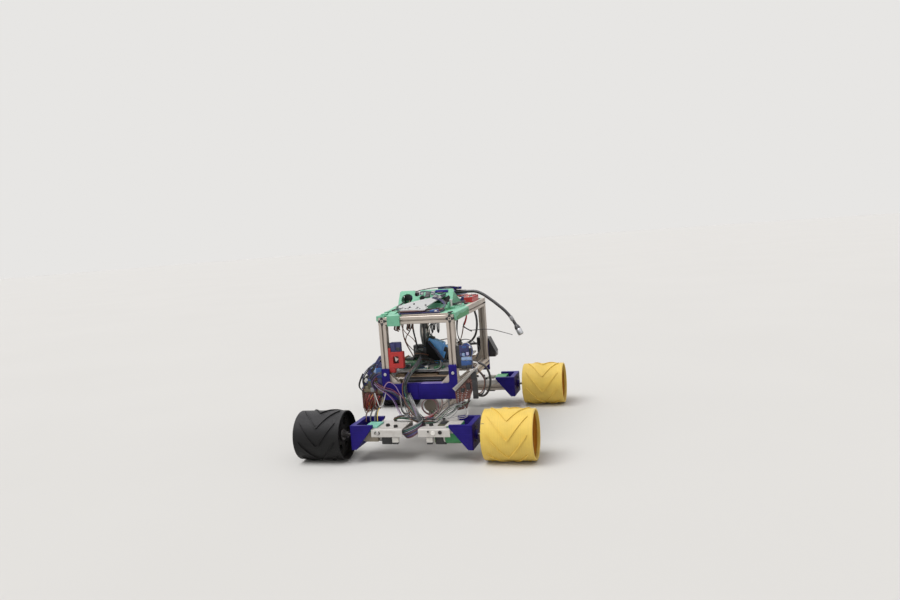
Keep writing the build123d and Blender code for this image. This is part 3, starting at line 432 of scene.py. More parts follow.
def make_materials(colours):
    """Every finish of the rover, by name."""
    printed("blue_print", colours.blue_print, Z, 0.40, 0.02, 0.72, 0.14)
    printed("mint_print", colours.mint_print, Z, 0.42, 0.05, 0.80)
    printed("green_print", colours.green_print, X, 0.42, 0.06)
    pale = ((0.0, 1.0, colours.pale_clamp), (0.0, 0.060, (0.30, 0.26, 0.20)))
    printed("front_clamp_print", colours.green_print, X, 0.42, 0.06, 0.8, 0.4, pale)
    # The inside finishes go on the drums' interiors and discs. The yellow one is a darker, more orange copy
    # of the yellow print: painted shade. The black one keeps the black print's colour with less gloss.
    printed("yellow_inside", (0.60, 0.24, 0.015), X, 0.5, 0.05, 0.8, 0.2)
    printed("black_inside", (0.006, 0.006, 0.006), X, 0.5, 0.02, 0.8, 0.15)
    printed("yellow_print", colours.yellow_print, X, 0.45, 0.05, 0.88, 0.4)
    printed("black_print", colours.black_print, X, 0.40, 0.01, 0.70, 0.24)
    printed("red_print", colours.red_print, Z, 0.42)
    metal("bar_across", colours.aluminium, (9, 1100, 1100), 0.38)
    metal("bar_along", colours.aluminium, (1100, 9, 1100), 0.38)
    metal("bar_upright", colours.aluminium, (1100, 1100, 9), 0.38)
    for name, *numbers in read_rows(METALS):
        metal(name, numbers[:3], numbers[3:6], *numbers[6:])
    worn("white_metal", colours.white_metal, (0.26, 0.23, 0.20), 0.35, 70.0, 0.42, 0.09)
    worn("white_sheet", colours.white_sheet, (0.44, 0.42, 0.46), 0.35, 45.0, 0.5)
    worn("battery_wrap", colours.wrap, (0.16, 0.42, 0.78), 0.55, 45.0, 0.18, 0.0, 0.0, 0.5)
    for name, *numbers in read_rows(WORN_FINISHES):
        worn(name, numbers[:3], numbers[3:6], *numbers[6:])
    for name, *colour in read_rows(WIRE_COLOURS):
        worn(f"wire_{name}", colour, [0.5 * channel + 0.05 for channel in colour], 0.5, 240.0, 0.32)
    lying, upright = (0, 0, 0), (radians(90), 0, 0)
    green, green_track, brassy = (0.020, 0.130, 0.060), (0.04, 0.24, 0.11), (0.62, 0.50, 0.26)
    circuit_board("board_blue", upright, (0.012, 0.022, 0.120), (0.02, 0.045, 0.20), (0.30, 0.26, 0.2))
    circuit_board("board_dark", lying, (0.022, 0.018, 0.090), (0.045, 0.04, 0.20), brassy)
    circuit_board("board_green", lying, green, green_track, brassy)
    circuit_board("board_green_front", upright, green, green_track, brassy)
    circuit_board("board_red", lying, (0.42, 0.016, 0.018), (0.52, 0.04, 0.04), brassy)
    circuit_board("strip_board", upright, (0.070, 0.017, 0.010), (0.22, 0.055, 0.038), (0.38, 0.19, 0.15))


def dress(text):
    """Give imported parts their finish: each row is a finish and the starts of the parts' names."""
    starts = {start: finish for finish, *names in read_rows(text) for start in names}
    for node, obj in NODES.items():
        known = [start for start in starts if node.startswith(start)]
        if known:
            finish = FINISH[starts[max(known, key=len)]]
            if obj.material_slots:
                obj.material_slots[0].material = finish
            else:
                obj.data.materials.append(finish)


def soften(obj, edge):
    """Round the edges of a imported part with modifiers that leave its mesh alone."""
    obj.modifiers.new("weld", "WELD").merge_threshold = 0.01 * MM
    flat = obj.modifiers.new("flat_faces", "DECIMATE")
    flat.decimate_type = "DISSOLVE"
    flat.angle_limit = radians(1)
    edges = obj.modifiers.new("edges", "BEVEL")
    edges.width = edge
    edges.segments = 2
    edges.limit_method = "ANGLE"
    edges.angle_limit = radians(40)
    edges.use_clamp_overlap = True


# Modelling helpers, all in millimetres

def mm(*values):
    """A point given in millimetres."""
    return Vector(values) * MM


def at(origin, x_axis, normal):
    """A place whose Z axis is the normal and whose X axis is given."""
    z = Vector(normal).normalized()
    x = Vector(x_axis).normalized()
    return Matrix.Translation(mm(*origin)) @ Matrix((x, z.cross(x), z)).transposed().to_4x4()


def paint(verts, number):
    """Give the faces on these vertices one of the piece's materials."""
    for vert in verts:
        for face in vert.link_faces:
            face.material_index = int(number)


def add_block(bm, low, high, edge=0.0, number=0, place=Matrix()):
    """A box between two corners, with its edges rounded."""
    low, high = mm(*low), mm(*high)
    verts = bmesh.ops.create_cube(bm, size=1.0)["verts"]
    shape = Matrix.Translation((low + high) / 2) @ Matrix.Diagonal((*(high - low), 1.0))
    bmesh.ops.transform(bm, matrix=place @ shape, verts=verts)
    paint(verts, number)
    if edge:
        edges = list({line for vert in verts for line in vert.link_edges})
        bmesh.ops.bevel(
            bm, geom=edges, offset=edge * MM, segments=2, profile=0.5, affect="EDGES", material=-1,
            clamp_overlap=True,
        )


def add_blocks(bm, text, place=Matrix()):
    """Blocks from rows of: low corner, high corner, edge, material number."""
    for row in read_rows(text):
        add_block(bm, row[:3], row[3:6], *row[6:], place)


def add_pins(bm, text, place=Matrix()):
    """Lines of equal small blocks, from rows of: low corner, step, how many, size, material number."""
    for row in read_rows(text):
        for k in range(int(row[6])):
            low = [row[axis] + k * row[3 + axis] for axis in range(3)]
            high = [low[axis] + row[7 + axis] for axis in range(3)]
            add_block(bm, low, high, 0.0, row[10], place)


def new_blocks(blocks, pins="", place=Matrix()):
    """New geometry that starts with blocks and lines of pins."""
    bm = bmesh.new()
    add_blocks(bm, blocks, place)
    add_pins(bm, pins, place)
    return bm


def add_rod(bm, start, end, radius, tip=None, segments=20, number=0, place=Matrix()):
    """A round rod or cone between two points."""
    start, end = mm(*start), mm(*end)
    turn = (end - start).to_track_quat("Z", "Y").to_matrix().to_4x4()
    verts = bmesh.ops.create_cone(
        bm, cap_ends=True, segments=segments, radius1=radius * MM, radius2=(tip or radius) * MM,
        depth=(end - start).length, matrix=place @ Matrix.Translation((start + end) / 2) @ turn,
    )["verts"]
    paint(verts, number)


def add_turned(bm, profile, place, segments=48, closed=True, number=0):
    """A profile of (distance along, radius) points spun round the Z axis of its place."""
    before = set(bm.verts)
    verts = [bm.verts.new((radius * MM, 0, along * MM)) for along, radius in profile]
    edges = [bm.edges.new(pair) for pair in zip(verts, verts[1:] + verts[:1] * closed)]
    bmesh.ops.spin(
        bm, geom=verts + edges, cent=(0, 0, 0), axis=Z, angle=2 * pi, steps=segments, use_merge=True
    )
    if not closed:
        made = [vert for vert in bm.verts if vert not in before]
        bmesh.ops.remove_doubles(bm, verts=made, dist=0.001 * MM)
    made = [vert for vert in bm.verts if vert not in before]
    bmesh.ops.transform(bm, matrix=place, verts=made)
    paint(made, number)
    return made


def ring_points(x, y, radius, count):
    """Points of a circle."""
    turns = [2 * pi * k / count for k in range(count)]
    return [(x + radius * cos(turn), y + radius * sin(turn)) for turn in turns]


def add_plate(bm, loops, thickness, place, number=0):
    """A flat plate with holes: the first loop is its outline and the others are holes."""
    edges = []
    for loop in loops:
        verts = [bm.verts.new(mm(x, y, 0)) for x, y in loop]
        edges += [bm.edges.new(pair) for pair in zip(verts, verts[1:] + verts[:1])]
    filled = bmesh.ops.triangle_fill(bm, edges=edges, use_beauty=True)["geom"]
    faces = [item for item in filled if isinstance(item, bmesh.types.BMFace)]
    lifted = bmesh.ops.extrude_face_region(bm, geom=faces)["geom"]
    top = [item for item in lifted if isinstance(item, bmesh.types.BMVert)]
    bmesh.ops.translate(bm, vec=mm(0, 0, thickness), verts=top)
    made = list({vert for face in faces for vert in face.verts} | set(top))
    bmesh.ops.transform(bm, matrix=place, verts=made)
    paint(made, number)


def make_mesh(name, bm):
    """Turn finished geometry into a mesh."""
    mesh = bpy.data.meshes.new(name)
    bm.to_mesh(mesh)
    bm.free()
    return mesh


def show(name, data):
    """Put something new in the scene."""
    obj = bpy.data.objects.new(name, data)
    bpy.context.scene.collection.objects.link(obj)
    return obj


def add_piece(name, bm, finishes, body="chassis", stands_for=(), smooth=35):
    """Turn finished geometry into a piece that rides on a body."""
    bmesh.ops.recalc_face_normals(bm, faces=bm.faces)
    mesh = make_mesh(name, bm)
    mesh.shade_smooth()
    mesh.set_sharp_from_angle(angle=radians(smooth))
    for finish in finishes.split():
        mesh.materials.append(FINISH[finish])
    obj = show(name, mesh)
    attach(obj, body)
    if stands_for:
        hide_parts(*stands_for)
    return obj


def new_curve(name, steps):
    """A curve in space, with its ends closed."""
    curve = bpy.data.curves.new(name, "CURVE")
    curve.dimensions = "3D"
    curve.resolution_u = steps
    curve.use_fill_caps = True
    return curve


def add_route(curve, points, radius=1.0):
    """A smooth spline with the points as its control points."""
    spline = curve.splines.new("NURBS")
    spline.points.add(len(points) - 1)
    for control, point in zip(spline.points, points):
        control.co = (*mm(*point), 1.0)
        control.radius = radius
    spline.order_u = 3
    spline.use_endpoint_u = True
    return spline


def mesh_of(obj):
    """The mesh that a curve's object shows."""
    bpy.context.view_layer.update()
    return bpy.data.meshes.new_from_object(obj.evaluated_get(bpy.context.evaluated_depsgraph_get()))


def make_rib(sizes):
    """One raised chevron, bent round the drum from a straight bar."""
    reach, foot, fillet = 39.0, 0.5, 0.0015
    height, width = sizes.rib_height / MM, sizes.rib_width / MM / 2
    bm = bmesh.new()
    bmesh.ops.create_cube(bm, size=2.0)
    long_edges = [edge for edge in bm.edges if abs(edge.verts[0].co.z - edge.verts[1].co.z) > 1]
    bmesh.ops.subdivide_edges(bm, edges=long_edges, cuts=35, use_grid_fill=True)
    for vert in bm.verts:
        rise, across, share = vert.co
        taper = sqrt(max(0.0, 1 - abs(share) ** 24))
        bend = (sqrt(share * share + fillet) - sqrt(fillet)) / (sqrt(1 + fillet) - sqrt(fillet))
        angle = sizes.rib_sweep * bend + across * width * (1.12 - 0.14 * rise) * taper / DRUM_RADIUS
        radius = DRUM_RADIUS - foot + (rise + 1) / 2 * (height + foot) * taper
        vert.co = mm(share * reach, -radius * cos(angle), radius * sin(angle))
    make_mesh("rib", bm)


def make_screw_head():
    """A small round head with a hexagon socket, one unit in radius and in height."""
    bm = bmesh.new()
    bmesh.ops.create_cone(bm, cap_ends=True, segments=18, radius1=1, radius2=1, depth=1)
    bmesh.ops.translate(bm, vec=(0, 0, 0.5), verts=bm.verts)
    rim = [edge for edge in bm.edges if all(vert.co.z > 0.9 for vert in edge.verts)]
    bmesh.ops.bevel(bm, geom=rim, offset=0.18, segments=2, profile=0.5, affect="EDGES", material=-1)
    top = max(bm.faces, key=lambda face: face.calc_center_median().z)
    bmesh.ops.inset_individual(bm, faces=[top], thickness=0.30)
    lowered = bmesh.ops.extrude_discrete_faces(bm, faces=[top])["faces"]
    bmesh.ops.translate(bm, vec=(0, 0, -0.55), verts=lowered[0].verts)
    make_mesh("screw_head", bm)


def add_copy(bm, name, place, number=0):
    """Add a copy of a kept shape."""
    before = set(bm.verts)
    bm.from_mesh(bpy.data.meshes[name])
    verts = [vert for vert in bm.verts if vert not in before]
    bmesh.ops.transform(bm, matrix=place, verts=verts)
    paint(verts, number)


def add_screw(bm, point, normal, radius, height, number=0):
    """A screw head that stands on a point."""
    side = Y if abs(Vector(normal).normalized().y) < 0.9 else X
    size = Matrix.Diagonal((radius * MM, radius * MM, height * MM, 1.0))
    add_copy(bm, "screw_head", at(point, side, normal) @ size, number)


def round_axle(toward, angle, radius):
    """Y and Z of a point round an axle, at an angle in degrees."""
    return toward * AXLE_Y + radius * cos(radians(angle)), AXLE_Z + radius * sin(radians(angle))


# Operators

class ROVER_OT_stage(bpy.types.Operator):
    """Add the camera at the photograph's viewpoint, the pale floor and the soft studio light"""

    bl_idname = "rover.stage"
    bl_label = "Stage"

    def execute(self, context):
        scene = context.scene
        camera = show("camera", bpy.data.cameras.new("camera"))
        camera.location = mm(462.2, -1603.8, 433.0)
        camera.rotation_euler = [radians(angle) for angle in (84.8829, 4.1905, 14.8236)]
        camera.data.sensor_width = 36.0
        camera.data.lens = 30.704
        scene.camera = camera
        lamps = (("key_light", (20, -20, 0), 2.25, 45), ("fill_light", (50, 35, 10), 0.15, 70))
        for name, turn, strength, width in lamps:
            lamp = show(name, bpy.data.lights.new(name, "SUN"))
            lamp.rotation_euler = [radians(angle) for angle in turn]
            lamp.data.energy = strength
            lamp.data.angle = radians(width)
        bm = bmesh.new()
        bmesh.ops.create_circle(bm, cap_ends=True, segments=96, radius=25.0)
        floor = show("floor", make_mesh("floor", bm))
        tree = start_material("floor")
        cloud = noise(tree, object_place(tree), 1.5, 3.0)
        pale = blend(tree, cloud, (0.62, 0.61, 0.595, 1), (0.65, 0.64, 0.625, 1))
        close_material(tree, Base_Color=pale, Roughness=0.9, Specular_IOR_Level=0.1)
        floor.data.materials.append(FINISH["floor"])
        self.light_world(scene)
        scene.view_settings.view_transform = "Standard"
        return {"FINISHED"}

    def light_world(self, scene):
        """Soft light from everywhere, over a background that the camera and gloss see as pale."""
        scene.world = bpy.data.worlds.new("studio")
        scene.world.use_nodes = True
        tree = scene.world.node_tree
        tree.nodes.clear()
        height = add_node(tree, "SeparateXYZ", {0: add_node(tree, "TexCoord")["Generated"]})["Z"]
        bright = blend(tree, spread(tree, height, 0.2, 0.9), (0.74, 0.73, 0.72, 1), (2.4, 2.35, 2.45, 1))
        colours = (((1.0, 0.985, 0.96, 1), 0.55), ((0.80, 0.79, 0.775, 1), 1.0), (bright, 1.0))
        light, seen, sky = [
            add_node(tree, "Background", {"Color": colour, "Strength": strength})[0]
            for colour, strength in colours
        ]
        path = add_node(tree, "LightPath")
        direct = calc(tree, "MAXIMUM", path["Is Camera Ray"], path["Is Transmission Ray"])
        shine = add_node(tree, "MixShader", {0: path["Is Glossy Ray"], 1: light, 2: sky})[0]
        mixed = add_node(tree, "MixShader", {0: direct, 1: shine, 2: seen})[0]
        add_node(tree, "OutputWorld", {"Surface": mixed})


LEAD_ROUTE = (
    (14.0, 106.0, 293.0),
    (40.0, 106.0, 293.0),
    (68.0, 101.0, 292.5),
    (102.0, 91.0, 270.0),
    (141.0, 80.5, 238.0),
    (154.0, 75.0, 214.5),
)
LEAD_DIAMETER = 7.0


class ROVER_OT_power_lead(bpy.types.Operator):
    """Add the thick power lead with its strain relief, grey band and plug"""

    bl_idname = "rover.power_lead"
    bl_label = "Power lead"

    def execute(self, context):
        curve = new_curve("power_lead_cable", 16)
        add_route(curve, LEAD_ROUTE)
        cable = show("power_lead_cable", curve)
        line = mesh_of(cable)
        path = [vert.co / MM for vert in line.vertices]
        bpy.data.meshes.remove(line)
        curve.bevel_depth = LEAD_DIAMETER / 2 * MM
        curve.bevel_resolution = 5
        curve.materials.append(FINISH["lead_jacket"])
        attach(cable, "chassis")
        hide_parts("power_lead")
        relief, sleeve, plug = self.add_relief(), self.add_band(path), self.add_plug()
        return {"FINISHED"}

    def add_relief(self):
        """The ribbed strain relief at the socket."""
        bm = bmesh.new()
        boot = [(0, 0), (0, 5.6), (2.0, 5.6), (2.6, 5.0)]
        for k in range(6):
            start, top = 3.2 + 3.4 * k, 5.2 - 0.2 * k
            boot += [(start, top), (start + 2.2, top), (start + 2.4, top - 0.8), (start + 3.2, top - 0.8)]
        boot += [(25.0, 3.9), (25.0, 0)]
        add_turned(bm, boot, at(LEAD_ROUTE[0], Y, X), 28, False)
        return add_piece("lead_strain_relief", bm, "black_plastic")

    def add_band(self, path):
        """The grey band on the lead, before its plug."""
        bm = bmesh.new()
        end, length, back = Vector(LEAD_ROUTE[-1]), 10.0, 13.0
        nearest = min(path, key=lambda point: abs((point - end).length - back - length / 2))
        following = (end - nearest).normalized()
        band = [(0, 3.3), (0, 4.1), (0.5, 4.4), (10.5, 4.4), (11.0, 4.1), (11.0, 3.3)]
        add_turned(bm, band, at(nearest - following * length / 2, Y, following), 28)
        return add_piece("lead_band", bm, "grey_plastic")

    def add_plug(self):
        """The plug with its moulded body, ridged shell and four pins."""
        bm = bmesh.new()
        end = Vector(LEAD_ROUTE[-1])
        direction = (end - Vector(LEAD_ROUTE[-2])).normalized()
        place = at(end, direction.cross(Y).cross(direction), direction)
        body = [(0, 3.4), (0, 3.7), (1.5, 4.9), (5.5, 6.2), (10.0, 6.4), (10.6, 5.9), (10.6, 3.4)]
        add_turned(bm, body, place, 32)
        shell = [(10.2, 4.0), (10.2, 6.0), (11.0, 6.4), (23.2, 6.4), (24.0, 6.0), (24.0, 4.9), (19.0, 4.8),
                 (19.0, 0.6), (18.0, 0.6), (18.0, 4.0)]
        add_turned(bm, shell, place, 32, number=1)
        for k in range(12):
            ridge = place @ Matrix.Rotation(2 * pi * k / 12, 4, "Z")
            add_blocks(bm, "5.9 -0.5 12.5 6.6 0.5 17.5 0.2 1", ridge)
        for x, y in ring_points(0, 0, 2.6, 4):
            add_rod(bm, (x, y, 18.5), (x, y, 22.5), 0.5, segments=8, number=2, place=place)
        return add_piece("lead_connector", bm, "black_plastic silver_plug brass", stands_for=["lead_plug"])


class ROVER_OT_wheels(bpy.types.Operator):
    """Add the four drum wheels with chevron ribs, pierced discs and hub screws"""

    bl_idname = "rover.wheels"
    bl_label = "Wheels"

    # Where the first rib of each wheel stands, in degrees
    RIB_TURNS = (30, 1, 10, 30)

    def execute(self, context):
        ribs = context.scene.rover_sizes.ribs
        for (corner, toward, out), first in zip(CORNERS, self.RIB_TURNS):
            bm = bmesh.new()
            self.add_drum(bm)
            self.add_disc(bm)
            for k in range(ribs):
                add_copy(bm, "rib", Matrix.Rotation(-radians(first) - 2 * pi * k / ribs, 4, "X"))
            if corner == "front_right":
                self.add_pen_mark(bm)
            if out < 0:
                bmesh.ops.scale(bm, vec=(-1, 1, 1), verts=bm.verts)
                bmesh.ops.reverse_faces(bm, faces=bm.faces)
            bmesh.ops.translate(bm, vec=mm(out * WHEEL_X, toward * AXLE_Y, AXLE_Z), verts=bm.verts)
            tint = "black" if out < 0 else "yellow"
            # The third finish goes inside the drum; on the yellow wheels it is painted shade.
            finishes = f"{tint}_print black_plastic {tint}_inside"
            add_piece(f"drum_wheel_{corner}", bm, finishes, f"{corner}_wheel", [f"wheel_{corner}"], 30)
            self.add_hub_screws(corner, toward, out)
        return {"FINISHED"}

    def add_drum(self, bm):
        """The thin wall of the drum, open at both ends."""
        inner, outer, step = 45.8, DRUM_RADIUS, 41.0
        wall = [(-48, inner + 0.6), (-47.4, inner), (step, inner), (42.5, 44.3), (47.2, 44.3), (48, 45.0),
                (48, outer - 0.8), (47.2, outer), (44.0, outer), (-44.0, outer), (-47.4, outer),
                (-48, outer - 0.6)]
        # Faces inside the drum, behind its step, take the inside finish, which is painted shade on the
        # yellow wheels.
        for vert in add_turned(bm, wall, at((0, 0, 0), Y, X), 128):
            for face in vert.link_faces:
                centre = face.calc_center_median()
                within = centre.yz.length < (inner + 0.3) * MM and centre.x < (step + 0.5) * MM
                face.material_index = 2 if within else 0

    def add_disc(self, bm):
        """The pierced disc near the inner rim, with a filleted boss and a raised lip at each hole."""
        place = at((-37, 0, 0), Y, X)
        centres = ring_points(0, 0, 28, 6)
        holes = [ring_points(x, y, 8, 24) for x, y in centres]
        outline, bore = ring_points(0, 0, 46.2, 96), ring_points(0, 0, 3.1, 24)
        # The disc, its boss and its lips take the inside finish, which is painted shade on the yellow
        # wheels.
        add_plate(bm, [outline, *holes, bore], 5.0, place, 2)
        boss = [(4.5, 3.1), (4.5, 16.0), (5.0, 15.2), (6.2, 13.2), (7.6, 12.2), (13.4, 12.0), (14.0, 11.4),
                (14.0, 3.1)]
        add_turned(bm, boss, place, number=2)
        for x, y in centres:
            lip = [(4.8, 8.0), (4.8, 9.6), (5.8, 9.4), (6.0, 8.9), (6.0, 8.0)]
            add_turned(bm, lip, place @ Matrix.Translation(mm(x, y, 0)), 24, number=2)

    def add_pen_mark(self, bm):
        """A short dark mark beside the inner rim."""
        angle = radians(39)
        centre = (-44.6, -DRUM_RADIUS * cos(angle), DRUM_RADIUS * sin(angle))
        add_blocks(bm, "-2.6 -0.55 -0.3 3.2 0.55 0.12 0.1 1", at(centre, X, (0, -cos(angle), sin(angle))))

    def add_hub_screws(self, corner, toward, out):
        """Screws that hold the coupler to the disc, the clamp screw and the shaft's end screw."""
        bm = bmesh.new()
        coupler, shaft_end, y = out * 147, out * 163.8, toward * AXLE_Y
        for angle in (45, 135, 225, 315):
            add_screw(bm, (coupler, *round_axle(toward, angle, 8.6)), (-out, 0, 0), 2.1, 1.8)
        add_screw(bm, (out * 142.5, y, AXLE_Z + 5.8), Z, 1.6, 0.9)
        add_screw(bm, (shaft_end, y, AXLE_Z), (out, 0, 0), 5.0, 3.2)
        for angle in range(30, 360, 60):
            add_screw(bm, (shaft_end, *round_axle(toward, angle, 8.9)), (out, 0, 0), 1.5, 1.2)
        add_piece(f"hub_screws_{corner}", bm, "dark_steel", f"{corner}_wheel")


class ROVER_OT_bars(bpy.types.Operator):
    """Give the slotted bars of the cage and the ladder frame their drawn finish"""

    bl_idname = "rover.bars"
    bl_label = "Slotted bars"

    def execute(self, context):
        dress("""
            bar_across top_bar axle_beam base_crossbars; bar_along rail sills spine;
            bar_upright post spine_uprights corner_brackets
        """)
        return {"FINISHED"}


class ROVER_OT_prints(bpy.types.Operator):
    """Finish the printed parts and the boards, and round their edges"""

    bl_idname = "rover.prints"
    bl_label = "Printed parts"

    ROUNDED = ("knuckle", "fascia", "deck", "motor_clamps", "red_bracket", "arm_brackets", "sloped_panel",
               "round_can", "power_pack", "rear_box", "shelf_right", "battery", "corner_brackets")

    def execute(self, context):
        dress("""
            blue_print knuckle fascia; mint_print deck deck_housing; green_print motor_clamps;
            front_clamp_print motor_clamps_front; red_print red_bracket; board_red red_module;
            white_metal arm_brackets; white_sheet sloped_panel; round_can_metal round_can; dark_steel hub;
            board_green computer; board_dark deck_board; dark_blue_plastic cable_socket blue_converter;
            tray_sheet upper_tray shelf_right; tan_board lower_tray; black_plastic power_pack rear_box;
            battery_wrap battery; board_blue side_module_right side_board_left; strip_board perfboard;
            motor_can gearmotors
        """)
        for node, obj in NODES.items():
            if node.startswith(self.ROUNDED) and node != "deck_board":
                soften(obj, context.scene.rover_sizes.edge)
        return {"FINISHED"}


class ROVER_OT_fasteners(bpy.types.Operator):
    """Add the screws of the cage, the folded brackets and the knuckles"""

    bl_idname = "rover.fasteners"
    bl_label = "Fasteners"

    # X, Z, radius and material of each screw in the ends of the arm brackets
    BRACKET_SCREWS = "45.2 60.7 4.2 4; 59 62 3.7 1; -65.5 60.5 3.4 0; 35.8 63.6 1.7 1"

    def execute(self, context):
        bm = bmesh.new()
        for out in (-1, 1):
            side = (out, 0, 0)
            for toward, lug, post in ((-1, -178.5, -167), (1, 124.5, 113)):
                add_screw(bm, (out * 70, lug, 158), (0, toward, 0), 3.0, 1.6)
                add_screw(bm, (out * 50, post, 138), Z, 2.8, 1.8, 1)
                add_screw(bm, (out * 60, post, 148), (-out, 0, 0), 2.8, 1.8, 1)
                add_screw(bm, (out * 118.2, toward * 197.5, 50), side, 3.1, 2.2)
                for angle in (90, 210, 330):
                    add_screw(bm, (out * 121, *round_axle(toward, angle, 15.5)), side, 2.3, 1.5, 1)
                add_rod(bm, (out * 50, toward * 196, 59), (out * 50, toward * 196, 73), 3.0, number=1)
                feet = ((33, 244), (52, 235)) if out < 0 else ((19, 232), (35, 234))
                for x, y in feet:
                    foot, top = (out * x, toward * y, 66), (out * x, toward * y, 71.6)
                    add_rod(bm, foot, top, 4.2, 3.9, number=1)
                    add_screw(bm, top, Z, 3.6, 0.9, 1)
                place = at((out * 70, post + toward * 7.5, 264.5), X, (0, toward, 0))
                for k in range(4):
                    turned = place @ Matrix.Rotation(k * pi / 2, 4, "Z")
                    add_blocks(bm, "-2.1 4.6 -3 2.1 7.9 0.4 0.3 3; -3 3 -3 3 5.2 0.4 0.3 3", turned)
            for y in (-150, 98):
                add_screw(bm, (out * 69, y, 275), Z, 2.6, 1.5, 1)
            for x, z, radius, number in read_rows(self.BRACKET_SCREWS):
                add_screw(bm, (x, out * 260, z), (0, out, 0), radius, 1.5, number)
        add_screw(bm, (70, -169.5, 275), Z, 4.0, 2.6, 1)
        add_blocks(bm, """
            48 -236 66.2 67 -206 70.2 1.2 5; 51 -232 70.2 63 -212 71.4 0.5 3; 58 -203 66.2 79 -190 70 0.8 6;
            72 -251 57.6 94 -249.7 67.4 0.3 6; 48 206 66.2 67 236 70.2 1.2 5
        """)
        add_piece("cage_screws", bm, """
            steel black_steel brass black_plastic white_plastic dark_olive_plastic white_metal
        """)
        return {"FINISHED"}


# Each block in these tables: low corner, high corner, edge, material number in its piece
GEARMOTOR_BLOCKS = """
43.2 -11.6 33.6 64.6 11.6 61 1.4 0; 41.6 -10.4 37 43.2 10.4 60 0.3 1; 45 -12.1 38 63 -11.6 51 0.4 0;
28 -20 39.5 40.5 -11 50 0.9 2; 29 -20.6 36.4 39.5 -12 39.6 0.5 0; 66 -13.2 47 69 -11.5 52 0.4 4
"""


class ROVER_OT_motors(bpy.types.Operator):
    """Add the encoders, plugs and sleeves of the gearmotors"""

    bl_idname = "rover.motors"
    bl_label = "Gearmotor details"

    def execute(self, context):
        for corner, toward, out in CORNERS:
            bm = bmesh.new()
            place = Matrix.Translation(mm(0, toward * AXLE_Y, 0)) @ Matrix.Diagonal((out, -toward, 1, 1))
            axis = at((0, toward * AXLE_Y, AXLE_Z), Y, (out, 0, 0))
            add_blocks(bm, GEARMOTOR_BLOCKS, place)
            for start in (66.0, 96.5, 100.0, 108.5):
                ring = [(start, 12.0), (start, 12.9), (start + 1.6, 12.9), (start + 1.6, 12.0)]
                add_turned(bm, ring, axis, 40, number=4)
            if corner == "front_right":
                sleeve = [(60.5, 12.7), (60.5, 15.4), (61.6, 16.4), (63.4, 16.4), (63.4, 12.7)]
                add_turned(bm, sleeve, axis, number=5)
                sleeve = [(63.4, 12.7), (63.4, 16.6), (91, 16.6), (92, 15.6), (92, 12.7)]
                add_turned(bm, sleeve, axis, number=6)
                add_blocks(bm, "66 -20 71 94 19 71.8 0.2 5", place)
            finishes = "black_plastic board_green_front white_plastic wire_red steel white_metal green_print"
            add_piece(f"gearmotor_details_{corner}", bm, finishes)
        return {"FINISHED"}


DECK_BOARD_BLOCKS = """
-34 -163.5 278.1 6 -160.5 281 0.3 0; 20 -164 278.1 27 -150 280 0.5 0; 28 -164.5 278.1 36 -157.5 281.4 0.5 2;
-36 -158 278.1 -20 -146 279.4 0.2 0; -12 -157 278.1 2 -143 279.4 0.2 0; 12 -152 278.1 22 -142 279.2 0.2 0;
37 -162 278.1 41 -157 280.2 0.3 1; 31 -156 278.1 34 -151 280.2 0.3 1; 24 -146 278.1 40 -132 279.6 0.3 2;
-37 -140 278.1 -33 -124 282.5 0.4 3; 42 -150 278.1 47 -124 281.5 0.4 4; -30 -128 278.1 36 -125 280 0.3 4
"""
# Each line of pins: low corner, step, how many, size, material number
DECK_BOARD_PINS = """
-33 -162.7 281 2.54 0 0 15 0.7 0.7 1.6 5; -35 -142 278.1 5.1 0 0 15 1.8 0.9 0.7 1;
-17 -156 278.1 0 2.4 0 6 2 1.2 0.6 6
"""
HOOD_BLOCKS = """
6 37.5 0 34 43.4 2.2 0.6 6; 11 35.5 0 24 37.5 3 0.5 0; -15 27 0 -5 41 2 0.6 0; -3 33 0 5 42.5 1.6 0.4 1;
-30 34 0 -20 42.5 1 0.4 1; 40 2 0 46 8 5 0.8 5
"""
RED_MODULE_BLOCKS = """
48.5 23 287 69 40 287.5 0.1 0; 52 27 287.5 60 36 289 0.4 1; 63 25 287.5 67 41 290 0.4 2;
50 46 287 68 62 288.4 0.4 1; 50 66 287 58 80 289.8 0.5 0; 61 66 287 67 78 288.6 0.3 2;
46.6 22 276 47 82 284 0.2 3; 40 22 275 46.4 46 284 0.8 3; 46.8 19.2 275 52.6 30 288.6 0.6 3;
38 17 275 43 22 288 1.6 0
"""
# The thin green sheet from 22 -112 275 to 56 -76 275.7, on the deck between the board and the hood's right
# end, is painted shade.
DECK_MODULE_BLOCKS = """
-69 -24 275 -43 2 306 1.2 0; -40 -24 275 -10 -4 306 1.2 0; -6 -22 275 24 2 300 1 5;
-50 8 275 -22 30 298 1.2 0; -66 -27 278 -56 -24 290 0.6 4; -54 -26 292 -46 -24 300 0.4 3;
45.5 -93 275 59 -84 280 0.8 6; 47 -98 275 50 -78 289 0.8 6; 22 -112 275 56 -76 275.7 0.3 7;
26 -106 275.7 38 -92 279 0.6 7; -76 -160 275 -64 -148 278 0.9 6; -76 -140 275 -69 -112 279.5 0.9 6;
50 -30 275 56 -14 280 0.8 1; 60 -10 275 66 4 278 0.6 8; -70 -120 275 -58 -88 278.6 0.6 4;
-68 -116 278.6 -64 -92 281 0.3 0
"""
SOCKET_BLOCKS = """
-33 94 282 -30 118 300.6 0.8 0; -31 94.2 297 7 117.8 301 0.9 1; -28 92.5 279 4 95.5 296 0.7 0;
8 99 284 10.4 113 299.6 0.8 1; -24 92 286 -6 92.6 292 0.3 2; -27 97 300.6 9 112 306.6 1 0;
8 99 299.6 27 109 305 1 3; -20 96 306.4 4 104 307.6 0.5 3
"""


